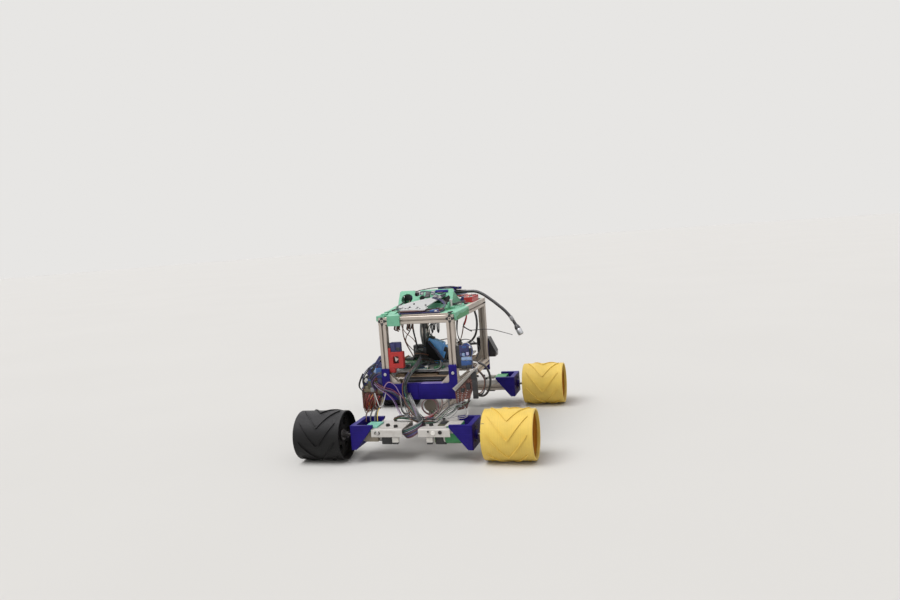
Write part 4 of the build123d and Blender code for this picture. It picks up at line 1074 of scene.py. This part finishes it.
class ROVER_OT_deck_electronics(bpy.types.Operator):
    """Add what stands on the deck: boards, sheet fittings, caps, standoff and socket details, and dark
    sheets of painted shade on the deck, the hood and the right flange
    """

    bl_idname = "rover.deck_electronics"
    bl_label = "Deck electronics"

    def execute(self, context):
        bm = new_blocks(DECK_BOARD_BLOCKS, DECK_BOARD_PINS)
        add_piece("deck_board_parts", bm, """
            black_plastic white_plastic blue_plastic silver_plug maroon_plastic brass blue_print
        """)
        self.add_sheet_fittings()
        bm = new_blocks(RED_MODULE_BLOCKS, "48.2 20.6 286 2.3 0 0 10 1 0.8 2.6 0")
        add_piece("red_module_parts", bm, "white_plastic red_plastic black_plastic dark_blue_plastic")
        self.add_modules()
        strips = "-31 -166.4 271.9 66 -165.4 275.2 0.2 0; 71.8 -52 271.8 78.1 120.4 275.6 0.3 0"
        add_piece("deck_edge_strips", new_blocks(strips), "bar_along")
        bm = new_blocks(SOCKET_BLOCKS, "-26 91.6 281 3.2 0 0 9 1.4 1 4 2")
        nut = [(10, 4.6), (10, 7.4), (11.6, 7.8), (13.6, 7.4), (14, 6.4), (14, 4.6)]
        add_turned(bm, nut, at((0, 106, 293), Y, X), 32)
        add_piece("socket_parts", bm, "dark_blue_plastic blue_plastic grey_plastic blue_print")
        return {"FINISHED"}

    def add_sheet_fittings(self):
        """What lies on the sloped sheet and on the perforated hood, a black plate of painted shade on the
        hood's slot, and the flap before the sheet.
        """
        slope = at((0, -122, 280.2), X, (0, -20.8, 78.1))
        hood = at((0, -62, 275), X, (0, -0.7986, 0.6018))
        bm = new_blocks("6 62 0 16 74 3 0.6 1; -14 66 0 -4 74 2.4 0.6 0", place=slope)
        # A black plate on the hood's face where its slot shows dark: painted shade.
        add_plate(bm, [[(22, 9), (38, 7), (40, 26), (36, 30), (26, 20)]], 0.8, hood, 5)
        add_blocks(bm, HOOD_BLOCKS, hood)
        for x, y in ((-30, 12), (-12, 7), (2, 20), (-26, 30)):
            add_rod(bm, (x, y, 0), (x, y, 2.0), 2.1, 1.8, 16, place=slope)
        flap = [(-40, 2), (-41, -24), (-33, -34), (15, -43), (18, -40), (12, 2)]
        add_plate(bm, [flap], 1.6, at((0, -122, 281.6), X, Z), 3)
        for x, y, radius in ((-33, -130, 2.2), (-24, -139, 1.7), (-8, -134, 2.4), (2, -145, 1.6)):
            add_rod(bm, (x, y, 282.6), (x, y, 284.2), radius, radius * 0.9, 16)
        add_blocks(bm, """
            -38 -165.4 280.2 18 -160 281.6 0.3 4; -36 -124 279.5 -30 -120 281.8 0.3 0;
            30 -126 279.5 38 -121 281.8 0.3 0
        """)
        add_piece("sheet_fittings", bm, """
            black_plastic grey_plastic dark_blue_plastic white_sheet maroon_plastic black_inside blue_print
        """)

    def add_modules(self):
        """The standoff, the round cap, the modules under the hood, a thin green sheet of painted shade on
        the deck and a dark green plate of painted shade along the right rail's flange.
        """
        bm = new_blocks(DECK_MODULE_BLOCKS)
        add_rod(bm, (52, -88, 275), (52, -88, 277), 4.2, 3.4, 24, 2)
        add_rod(bm, (52, -88, 277), (52, -88, 292), 2.9, segments=6, number=2)
        add_screw(bm, (52, -88, 292), Z, 3.4, 1.8, 2)
        cap = [(0, 0), (0, 5.2), (11, 5.2), (12.4, 4.2), (13, 0)]
        add_turned(bm, cap, at((31, 44, 275), X, Z), 28, False, 1)
        # A thin dark green plate over the lower part of the right flange's outer face: painted shade.
        shade = [(-157, 260.4), (-160, 265), (-132, 270.5), (-108, 268), (-60, 270), (-60, 260), (-150, 260)]
        add_plate(bm, [shade], 0.5, at((81, 0, 0), Y, X), 7)
        add_piece("deck_modules", bm, """
            black_plastic white_plastic steel dark_blue_plastic board_green wire_green mint_print
            green_print maroon_plastic
        """)


COMPUTER_BLOCKS = """
-57 -131.4 162 -44 -118 172.9 0.5 0; -42 -131.4 162 -31 -119 170 0.5 0;
-55.6 -131.8 163.4 -45.4 -131.2 171.4 0.1 1; -40.8 -131.8 163.2 -32.2 -131.2 168.6 0.1 1;
-48 -106 172.5 -32 -90 174.6 0.3 1; -56.5 -112 172.5 -52 -64 175.6 0.3 1; -30 -84 172.5 -22 -70 176.5 0.4 0;
-44 -82 172.5 -34 -72 174 0.2 1
"""
STRAP_BLOCKS = """
-38.6 -86 -0.2 -27 -63.4 24 1.2 0; -38.6 -84.6 24 -33 -63.4 46.4 1.2 0; -1 -82 4 9 -66 42 2.4 4;
9 -80 8 12 -68 38 1.4 0; -30 -90 -0.4 -8 -84 7 1.4 0; -34 -80 45.6 -24 -68 49.5 0.7 0;
4 -84 30 10 -81 40 0.6 0; -52 -90 4 -39 -76 13 0.8 0
"""
TRAY_BLOCKS = """
-38 -151 138 42 -150 145 0.3 0; -34 -151.6 140 38 -151 141 0.2 3; -46 -60 172 -8 -40 197 1.2 0;
-42 -61 176 -14 -60 190 0.5 3; 30 -120 160 56 -96 168 0.8 3; 33 -116 168 50 -100 171 0.5 0;
-50 -30 160 -10 30 170 1 3; -46 -26 170 -16 26 174 0.8 0; 18 -40 160 52 20 176 1.2 0;
20 -140 160 40 -124 164 0.6 4; -16 -146 160 10 -130 162.4 0.4 4; -12 -143 162.4 -2 -134 165 0.4 0;
2 -142 162.4 8 -132 166 0.4 1; -58 -150 149.5 -40 -120 153 0.5 5; -36 -150 149.6 30 -144 152 0.4 5;
34 -152 149.6 54 -130 155 0.6 0
"""


class ROVER_OT_cage_electronics(bpy.types.Operator):
    """Add ports, chips, straps and plugs to the computer, the battery and the power pack, and a dark sheet
    of painted shade on the battery
    """

    bl_idname = "rover.cage_electronics"
    bl_label = "Cage electronics"

    def execute(self, context):
        pins = "-55.5 -111 175.6 0 2.54 0 18 1 0.7 2.4 2; -47.5 -105 174.6 2.5 0 0 6 1 14 3.4 0"
        add_piece("computer_parts", new_blocks(COMPUTER_BLOCKS, pins), "silver_plug black_plastic brass")
        lean = Matrix.Translation(mm(12.5, 0, 160.1)) @ Matrix.Rotation(radians(21.04), 4, "Y")
        bm = new_blocks(STRAP_BLOCKS, place=lean)
        # A thin dark sheet over the battery's front, beside the black bundle that crosses it: painted shade.
        flap = [(-9, 208), (-4, 208), (5, 199), (17, 185.5), (21, 167.5), (-8.5, 170)]
        add_plate(bm, [flap], 1.2, at((0, -86.6, 0), X, FRONT), 5)
        add_piece("battery_straps", bm, """
            black_plastic dark_blue_plastic blue_plastic white_plastic battery_wrap black_inside
        """)
        bm = new_blocks(TRAY_BLOCKS, "-14 -147 162.4 2.54 0 0 9 0.8 0.8 2.4 2")
        add_piece("tray_parts", bm, """
            black_plastic white_plastic blue_plastic grey_plastic board_green tan_board
        """)
        return {"FINISHED"}


LEFT_BOARD_BLOCKS = """
2 -16 0 20 -2 5 0.8 2; 22 -22 0 34 -3 8 1 0; 36 -16 0 50 -4 8 0.8 2; 53 -20 0 70 -3 7 1 1;
6 -38 0 30 -22 4 0.6 2; 36 -50 0 64 -28 5 0.8 2; 10 -62 0 28 -44 8 0.8 3; 70 -50 0 78 -24 6 0.6 0;
26 -2.5 -2.4 38 0.6 3 0.5 1; 56 -2.5 -2.4 64 0.8 4 0.5 3; 10 -20 -14 24 -1 -2.4 1 2;
25 -18 -15 36 1.5 -2.4 1.2 0; 37 -20 -13 52 0.6 -2.4 1 1; 53 -16 -12 64 1.2 -2.4 1 7;
66 -12 -10 77 0.6 -2.4 0.8 1; 27 1.4 -12 35 2.2 -8 0.4 2
"""
LEFT_STRIP_BOARD_BLOCKS = """
-121 -172 121 -96 -167.2 134 2.2 8; -112 -173 128 -90 -167.2 144 2 9; -106 -174 122 -98 -172 131 0.8 5;
-92 -171 118 -80 -160 132 1.4 8; -127 -169 88 -123 -167.2 124 0.6 10; -112 -170.5 88 -102 -167.2 112 0.8 10;
-100 -171 92 -93 -167.2 104 0.6 1; -92 -172 150 -79 -160 170 1.4 7; -90 -173 136 -80 -162 150 1.4 2;
-118 -169.5 94 -114 -167.2 108 0.5 6
"""
RIGHT_BOARD_BLOCKS = """
89 -177.5 182 109 -175 188 0.4 6; 99 -178.5 166.5 109 -175 173 0.6 1; 88 -177 170 108 -175 181 0.4 5;
91 -177.6 190 96 -175 196 0.5 6; 99 -177 192 104 -175 198 0.3 7; 86 -177.5 199 104 -175 211 0.5 2;
104.5 -174 190 109 -168 205 0.5 1; 92 -178.2 206 100 -177 210 0.3 5; 78 -172.5 166 89 -163 210 0.8 1;
88 -178 165 98 -175 172 0.5 1; 109 -187 108 119 -180.5 149 0.9 1; 84 -183.5 121 92 -180.5 128 0.4 1;
96 -184 126 104 -180.5 138 0.5 1; 78 -182 90 84 -180.5 100 0.3 4; 90 -183 102 97 -180.5 106 0.4 0;
108 -188 146 118 -181 160 0.8 1; 112 -184 158 120 -178 166 0.6 3
"""
RIGHT_BOARD_PINS = """
76 -182.3 88 0.2 0 4.1 9 1.6 1.8 1.6 4; 81 -182.3 93 0.9 0 4.3 9 1.6 1.8 1.6 4;
87 -182.3 96 1.6 0 4.5 9 1.6 1.8 1.6 4
"""
RED_BRACKET_BLOCKS = """
-53.6 -166 177.6 -40.9 -163 193.4 0.4 1; -61.8 -161 171 -33 -158 200 0.6 1;
-62.5 -172.6 160.2 -50 -164 169.2 0.8 3; -62.4 -173.2 202 -57 -165 210 0.8 3;
-56 -173.5 205 -47 -171 219 0.8 4; -45 -172.6 205 -38 -171 211 0.4 1; -60 -172 210 -57.6 -163 220 0.3 1
"""


class ROVER_OT_side_electronics(bpy.types.Operator):
    """Add the parts on the boards at the sides and in the red bracket, and a painted highlight along the
    fascia's top edge
    """

    bl_idname = "rover.side_electronics"
    bl_label = "Side electronics"

    def execute(self, context):
        left = at((-80, -167, 192), (-48, 0, -64), (-64, 0, 48))
        bm = new_blocks(LEFT_BOARD_BLOCKS, "4 -20.5 0 2.54 0 0 26 0.7 0.7 4.5 4", left)
        add_blocks(bm, LEFT_STRIP_BOARD_BLOCKS)
        add_piece("left_board_parts", bm, """
            pale_blue_plastic black_plastic dark_blue_plastic white_plastic brass grey_plastic red_plastic
            blue_plastic olive_plastic dark_olive_plastic brown_plastic
        """)
        bm = new_blocks(RIGHT_BOARD_BLOCKS, RIGHT_BOARD_PINS)
        strut = at((72, -182.4, 124.2), (38.5, 0, 37), FRONT)
        add_blocks(bm, "0 -2.4 0 53 2.6 1.6 0.4 8; 0 -3.4 0 53 -2.4 1.2 0.2 1", strut)
        add_piece("right_board_parts", bm, """
            white_plastic black_plastic dark_blue_plastic grey_plastic silver_plug blue_plastic
            pale_blue_plastic lavender_plastic white_metal
        """)
        # Two thin lilac strips along the fascia's top edge: a painted highlight.
        highlight_strips = "2 -178.3 135.7 48 -160 138.2 0.5 0; -30 -176 135.7 0 -160 137.6 0.5 0"
        add_piece("fascia_ledge", new_blocks(highlight_strips), "lilac_plastic")
        bm = new_blocks(RED_BRACKET_BLOCKS)
        add_plate(bm, [[(-5.0, 6.0), (3.6, 0.8), (-2.6, -4.6)]], 1.4, at((-46.8, -166, 186), X, FRONT))
        add_piece("red_bracket_parts", bm, "white_plastic black_plastic brass red_print dark_blue_plastic")
        add_piece("rear_box_parts", new_blocks("""
            55 154.2 142 76 155 172 0.4 1; 58 154.8 146 72 155.4 168 0.3 0; 93 130 141 94 148 147 0.3 1
        """), "black_plastic grey_plastic")
        return {"FINISHED"}


# Each row of wires: seed, how many, spread, radius and colours, then the points of the line that they follow
LOWER_WIRES = """
5 14 5.4 thin dark: -4 -146 182, -10 -158 172, -20 -166 160, -29 -180 146, -31 -187 124, -22 -192 106,
    -10 -204 92, 2 -212 80, 18 -222 74, 36 -214 72;
8 7 3 thin dark: -50 -197 72, -42 -206 77, -28 -206 80, -16 -206 76, -2 -212 72, 14 -222 70;
9 8 6 thin black/brown/black/grey: -26 -186 104, -22 -192 92, -20 -198 84, -14 -204 78, -6 -210 76;
4 4 2.4 0.7 pink/white/red: 14 -121 91, 24 -140 88, 30 -165 80, 20 -190 74, -4 -200 72, -16 -196 84;
11 6 6 0.6 grey/white/green/black/grey/black: 30 -214 70, 42 -208 76, 56 -198 90, 72 -188 98, 88 -184 96,
    98 -183 106;
12 5 5 0.6 grey/black/grey/black/green: 26 -180 84, 44 -200 74, 62 -196 78, 76 -186 88, 80 -183 98;
13 3 3 0.5 white/grey: 90 -183 92, 98 -186 80, 94 -196 76, 84 -204 78, 70 -206 74, 54 -200 72;
14 3 1.2 0.9 black/brown: 40 -170 112, 44 -178 104, 47 -188 94, 40 -196 82;
15 2 1 0.9 black: 56 -172 112, 58 -182 100, 60 -190 88;
17 2 0.5 0.6 lavender/pink: -78 -178 122, -72 -184 136, -60 -187 146, -47 -187 137, -39 -187 118,
    -22 -188 100, -6 -204 88, 4 -212 76;
18 3 3 0.5 purple/maroon/lavender: -96 -176 142, -84 -182 132, -68 -184 122, -54 -186 108, -46 -190 94,
    -36 -198 80;
19 6 4 0.8 maroon/brown/black/maroon/black/navy: -92 -176 138, -78 -182 130, -60 -184 126, -46 -184 120,
    -34 -186 108, -26 -190 96;
16 4 1.6 0.8 black/brown/black/grey: -40 -190 116, -36 -196 104, -34 -200 90, -26 -202 82, -16 -198 88,
    -14 -196 100, -22 -192 112, -32 -190 112;
10 4 1.8 1.3 black/black/green/black: -50 -200 73, -42 -202 77, -34 -202 77, -22 -204 75, -8 -204 74;
31 2 0.8 0.8 white/grey: -98 -174 120, -92 -178 106, -88 -180 93, -84 -180 92, -78 -179 102, -72 -178 122;
32 2 1.4 0.6 grey/brown: -100 -174 118, -96 -178 106, -97 -180 96, -90 -180 88, -84 -178 96, -80 -176 112;
32 5 1.6 0.6 red/black/white/yellow/green: -42 -241 56, -36 -246 51, -26 -240 52, -12 -226 62;
34 5 1.6 0.6 red/black/white/yellow/green: 42 -241 56, 36 -246 51, 26 -240 52, 12 -226 62;
35 4 1.4 thin black/red/white/green: -36 240 50, -24 236 52, -12 222 62, -5 196 62, -4 130 60, -4 76 61,
    -3 64 80, -3 62 120, -3 60 148;
37 4 1.4 thin black/red/white/green: 36 240 50, 24 236 52, 12 222 62, 5 196 62, 4 130 60, 4 76 61, 3 64 80,
    3 62 120, 3 60 148
"""
CAGE_WIRES = """
49 6 2.6 1.3 black/black/navy/black: -2 -88 208, 7 -90 198, 15 -90 189, 25 -90 170, 34 -90 164;
40 2 0.6 1.5 black: -45 -60 271, -44 -60 240, -42 -60 222, -38 -60 204, -36 -64 186, -40 -70 172;
47 5 6 2.1 grey/grey/black/grey: -17 -60 271, -18 -60 250, -19 -60 226, -20 -60 208, -18 -54 190;
39 2 0.6 0.8 brown: -76 0 257, -92 0 240, -84 0 219, -72 0 209, -60 0 198, -50 0 176;
37 2 0.6 0.8 brown/black: -60 0 271, -62 0 240, -70 0 220, -82 0 206, -82 0 192, -60 -10 176;
36 3 1 1.2 black: -62 60 271, -64 60 240, -58 60 214, -52 60 202, -46 58 192, -30 50 178;
38 2 0.6 0.7 black: 80 -160 214, 86 -165 221, 104 -166 222, 122 -166 211, 125 -166 196, 116 -170 184;
44 3 2 0.9 black/grey: -30 -148 150, -20 -157 158, 0 -158 163, 26 -157 160, 44 -150 166, 30 -120 172;
45 5 4 1.1 black/brown: -6 -92 178, -20 -104 186, -34 -100 180, -30 -84 172;
46 3 1.6 0.7 brown/black/brown: -62 -60 256, -68 -60 230, -62 -62 206, -50 -70 188, -38 -88 178;
48 6 9 0.9 dark: -16 20 271, -14 10 246, -30 0 226, -20 -20 204, 6 -30 190;
60 1 0.1 2.4 black: 64 40 271, 69 40 258, 74 40 236, 72 42 214, 66 44 196, 52 40 182, 30 30 180;
61 3 1.4 1.4 red: 58 -20 271, 64 -20 258, 66 -20 252, 64 -20 243, 60 -20 234;
58 2 0.5 1.3 black: 60 -20 236, 56 -20 229, 64 -20 223, 75 -20 217;
59 2 0.5 0.8 brown: 57 -20 228, 56 -20 221, 52 -20 207, 48 -20 198, 40 -20 182;
62 2 0.7 0.6 black: 56 -20 228, 66 -8 217, 82 0 217, 111 0 218, 140 2 209, 158 4 203;
63 3 1.8 0.8 black: 66 -96 258, 68 -116 242, 76 -146 226, 88 -160 212, 92 -166 204;
64 3 2 0.8 black/white/blue: 86 -160 208, 98 -166 218, 110 -168 206, 108 -172 190, 100 -176 180;
65 1 0.1 2.2 black: 108 -172 178, 118 -166 176, 134 -165 168, 142 -165 146, 138 -165 120, 124 -168 106,
    112 -172 114;
66 3 2.4 1.2 black/brown: 112 -180 118, 122 -172 110, 130 -160 128, 124 -150 150, 104 -150 166;
67 4 2.4 0.9 black/navy/black: -92 -160 178, -100 -172 176, -112 -174 164, -122 -174 148, -120 -172 132;
68 4 3 0.8 black/navy/purple/black: -80 -176 160, -88 -176 160, -98 -176 150, -102 -176 138, -94 -174 128;
34 2 0.6 1.2 white: 112 -178 178, 120 -178 178, 122 -177 170, 114 -178 164, 104 -178 162;
69 2 1.2 1.1 black: -122 -166 158, -132 -170 140, -130 -170 126, -118 -170 120;
70 3 1.6 1.2 black: 72 132 158, 58 126 168, 40 106 172, 28 84 166, 20 68 161
"""
DECK_WIRES = """
80 2 0.4 0.9 black: -79 -30 262, -79 -24 284, -72 -5 296, -60 12 304.5, -34 35 309.5, -3 45 310.6,
    23 60 309, 30 84 304, 14 98 300;
81 6 3 0.9 black/purple/navy/black: -44 -20 300, -30 10 302, -12 44 304, 10 70 302, 4 96 298;
82 5 3 0.9 purple/black/navy/black: 24 -60 300, 34 -20 303, 30 30 302, 8 76 303, -16 100 303;
83 4 2 0.8 black/purple/black: 30 -84 291, 44 -92 286, 56 -78 282, 62 -50 284, 62 -10 281;
84 4 2 0.7 black/green/navy: -34 -128 280, -48 -132 284, -58 -118 282, -62 -96 284, -56 -70 290;
85 2 1 0.8 black/navy: -20 -60 304, -26 -52 309, -14 -44 309.5, 6 -50 307, 20 -66 300;
87 5 2.2 0.7 black/navy/purple: 6 -62 297, 18 -72 296, 34 -84 292, 46 -104 284, 46 -128 281;
88 6 3 1 black/red/black/navy: 0 8 262, 0 8 276, 6 20 288, 14 40 292, 30 50 288, 50 60 290
"""
# The flat cable before the front upright: X and how far it goes over from the first wire to the last, Y, Z
# and how far it rises
RIBBON = """
-26 14 -248 63 -14; -20 14 -253 64 -15; -4 10 -254 69 -15; 14 3 -247 76 -14; 20 -3 -234 80 -10;
10 -6 -222 84 -8; 2 -8 -210 94 0; -6 -6 -202 104 0; -14 -8 -192 114 0; -20 -8 -182 120 0
"""
RIBBON_COLOURS = "grey black teal black grey navy maroon black navy purple black maroon"
# The colours of a dark bundle, in turn
DARK = "black/black/green/black/brown/black/navy/black"
# How far the wires of a bundle stray from their line, as a share of its spread
LOOSE = 0.35


def bundle(guide, count, reach, radius, colours, seed):
    """Wires side by side along a line, each with small waves of its own, as (points, radius, colour)."""
    random, colours = Random(seed), colours.split("/")
    wires = []
    for k in range(count):
        angle, out = 2.4 * k, reach * sqrt((k + 0.5) / count)
        offset = Vector((cos(angle), 0.6 * sin(angle), sin(angle))) * out
        points = [
            Vector(point) + offset * random.uniform(1 - LOOSE, 1 + LOOSE)
            + Vector([random.gauss(0, LOOSE * reach * 0.6) for _ in range(3)])
            for point in guide
        ]
        wires.append((points, radius, colours[k % len(colours)]))
    return wires


def bundles(text, thin):
    """The bundles of a table of wires, where a radius may be given as thin and colours as dark."""
    wires = []
    for row in text.split(";"):
        head, points = row.replace("dark", DARK).split(":")
        seed, count, reach, radius, colours = head.split()
        radius = thin if radius == "thin" else float(radius)
        wires += bundle(read_rows(points, ","), int(count), float(reach), radius, colours, int(seed))
    return wires


def tangle(low, high, count, turns, radius, colours, seed):
    """Loose wires that wander between two corners of a space, as (points, radius, colour)."""
    random, colours = Random(seed), colours.split("/")
    wires = []
    for k in range(count):
        points = [Vector([random.uniform(a, b) for a, b in zip(low, high)]) for _ in range(turns)]
        points.sort(key=lambda point: point[k % 2])
        points[0].z = points[-1].z = low[2]
        wires.append((points, radius, colours[k % len(colours)]))
    return wires


def add_wires(name, wires):
    """One piece of round wires, with one material for each colour of insulation."""
    curve = new_curve(name, 6)
    curve.bevel_depth = MM
    curve.bevel_resolution = 2
    used = sorted({colour for _, _, colour in wires})
    for colour in used:
        curve.materials.append(FINISH[f"wire_{colour}"])
    for points, radius, colour in wires:
        add_route(curve, points, radius).material_index = used.index(colour)
    guide = show(name + ".guide", curve)
    mesh = mesh_of(guide)
    mesh.name = name
    bpy.data.objects.remove(guide)
    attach(show(name, mesh), "chassis")


class ROVER_OT_harness(bpy.types.Operator):
    """Add the wires that run between the boards, the motors and the battery"""

    bl_idname = "rover.harness"
    bl_label = "Wiring"

    def execute(self, context):
        thin = context.scene.rover_sizes.wire / MM
        lower = bundles(LOWER_WIRES, thin)
        ribbon = RIBBON_COLOURS.split()
        for k, colour in enumerate(ribbon):
            share = k / (len(ribbon) - 1)
            guide = [(x + over * share, y, z + rise * share) for x, over, y, z, rise in read_rows(RIBBON)]
            lower += bundle(guide, 2, 0.8, thin * 1.15, f"{colour}/black", 70 + k)
        ring = [(x - 1, -120 + 1.5 * sin(k), z + 78) for k, (x, z) in enumerate(ring_points(0, 0, 17.0, 12))]
        lower += bundle(ring + ring[:3], 4, 1.2, 0.7, "pink/white/pink/grey", 2)
        for k, colour in enumerate(("brown", "red", "orange", "red", "brown", "red")):
            x = 5 * k - 122
            guide = [(x + 8, -172, 118 - k), (x + 2, -178, 106), (x, -178, 92), (x + 4, -175, 80 + 2 * k),
                     (x + 12, -173, 92), (x + 14, -171, 108)]
            lower += bundle(guide, 3, 2.6, 0.7, f"{colour}/maroon/brown", 20 + k)
        tails = ((-112, -196, "brown"), (-103, -194, "black"), (-93, -196, "black"), (-91, -190, "yellow"))
        for x, y, colour in tails:
            guide = [(x + 12, -172, 112), (x + 6, -176, 98), (x, -182, 86), (x, y, 76), (x + 2, y - 6, 68)]
            lower += bundle(guide, 2, 1.2, 0.8, f"{colour}/black", -x)
        add_wires("lower_wires", lower)

        cage = bundles(CAGE_WIRES, thin)
        cage += tangle((-54, -150, 163), (30, -70, 178), 7, 5, 0.9, DARK, 41)
        cage += tangle((-50, -60, 176), (54, 80, 200), 12, 5, 1.1, DARK, 42)
        cage += tangle((-58, 20, 168), (-34, 60, 216), 9, 4, 1.5, "black/black/grey/navy", 35)
        cage += tangle((-30, -150, 150.5), (52, -60, 156), 10, 4, 0.9, "black/brown/grey/black", 43)
        for x in (-60, -55, -51, -33, -29, -22):
            guide = [(x, -130, 262), (x + 3, -131, 250), (x - 1, -130, 240), (x + 2, -128, 236 + x % 7)]
            cage += bundle(guide, 2, 1.4, 1.2, "brown/black", 120 + x)
        for x, drop in ((25, 18), (29, 12), (37, 18), (12, 9)):
            guide = [(x, -146, 270), (x + 1, -152, 256), (x, -152, 255 - drop), (x + 3, -150, 251 - drop),
                     (x + 3, -146, 262)]
            cage += bundle(guide, 2, 0.7, 1.0, "black", 50 + x)
        add_wires("cage_wires", cage)

        deck = bundles(DECK_WIRES, thin)
        deck += tangle((-40, -20, 278), (42, 30, 298), 12, 5, 0.9, "black/navy/black/purple/white", 86)
        add_wires("deck_wires", deck)
        return {"FINISHED"}


class ROVER_PT_panel(bpy.types.Panel):
    """The rover's operators in the sidebar"""

    bl_idname = "ROVER_PT_panel"
    bl_label = "Rover"
    bl_space_type = "VIEW_3D"
    bl_region_type = "UI"
    bl_category = "Rover"

    def draw(self, context):
        for item in OPERATORS:
            self.layout.operator(item.bl_idname)
        for settings in (context.scene.rover_sizes, context.scene.rover_colours):
            for name in settings.__annotations__:
                self.layout.prop(settings, name)


OPERATORS = (
    ROVER_OT_stage, ROVER_OT_power_lead, ROVER_OT_wheels, ROVER_OT_bars, ROVER_OT_prints, ROVER_OT_fasteners,
    ROVER_OT_motors, ROVER_OT_deck_electronics, ROVER_OT_cage_electronics, ROVER_OT_side_electronics,
    ROVER_OT_harness,
)
CLASSES = (RoverSizes, RoverColours, *OPERATORS, ROVER_PT_panel)


def register():
    """Register the settings, the operators and the panel."""
    for item in CLASSES:
        bpy.utils.register_class(item)
    bpy.types.Scene.rover_sizes = bpy.props.PointerProperty(type=RoverSizes)
    bpy.types.Scene.rover_colours = bpy.props.PointerProperty(type=RoverColours)


def unregister():
    """Take the settings, the operators and the panel out again."""
    del bpy.types.Scene.rover_colours
    del bpy.types.Scene.rover_sizes
    for item in reversed(CLASSES):
        bpy.utils.unregister_class(item)


def main():
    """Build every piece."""
    register()
    make_materials(bpy.context.scene.rover_colours)
    make_rib(bpy.context.scene.rover_sizes)
    make_screw_head()
    rover = bpy.ops.rover
    for step in (rover.stage, rover.power_lead, rover.wheels, rover.bars, rover.prints, rover.fasteners,
                 rover.motors, rover.deck_electronics, rover.cage_electronics, rover.side_electronics,
                 rover.harness):
        step()


if __name__ == "__main__":
    main()
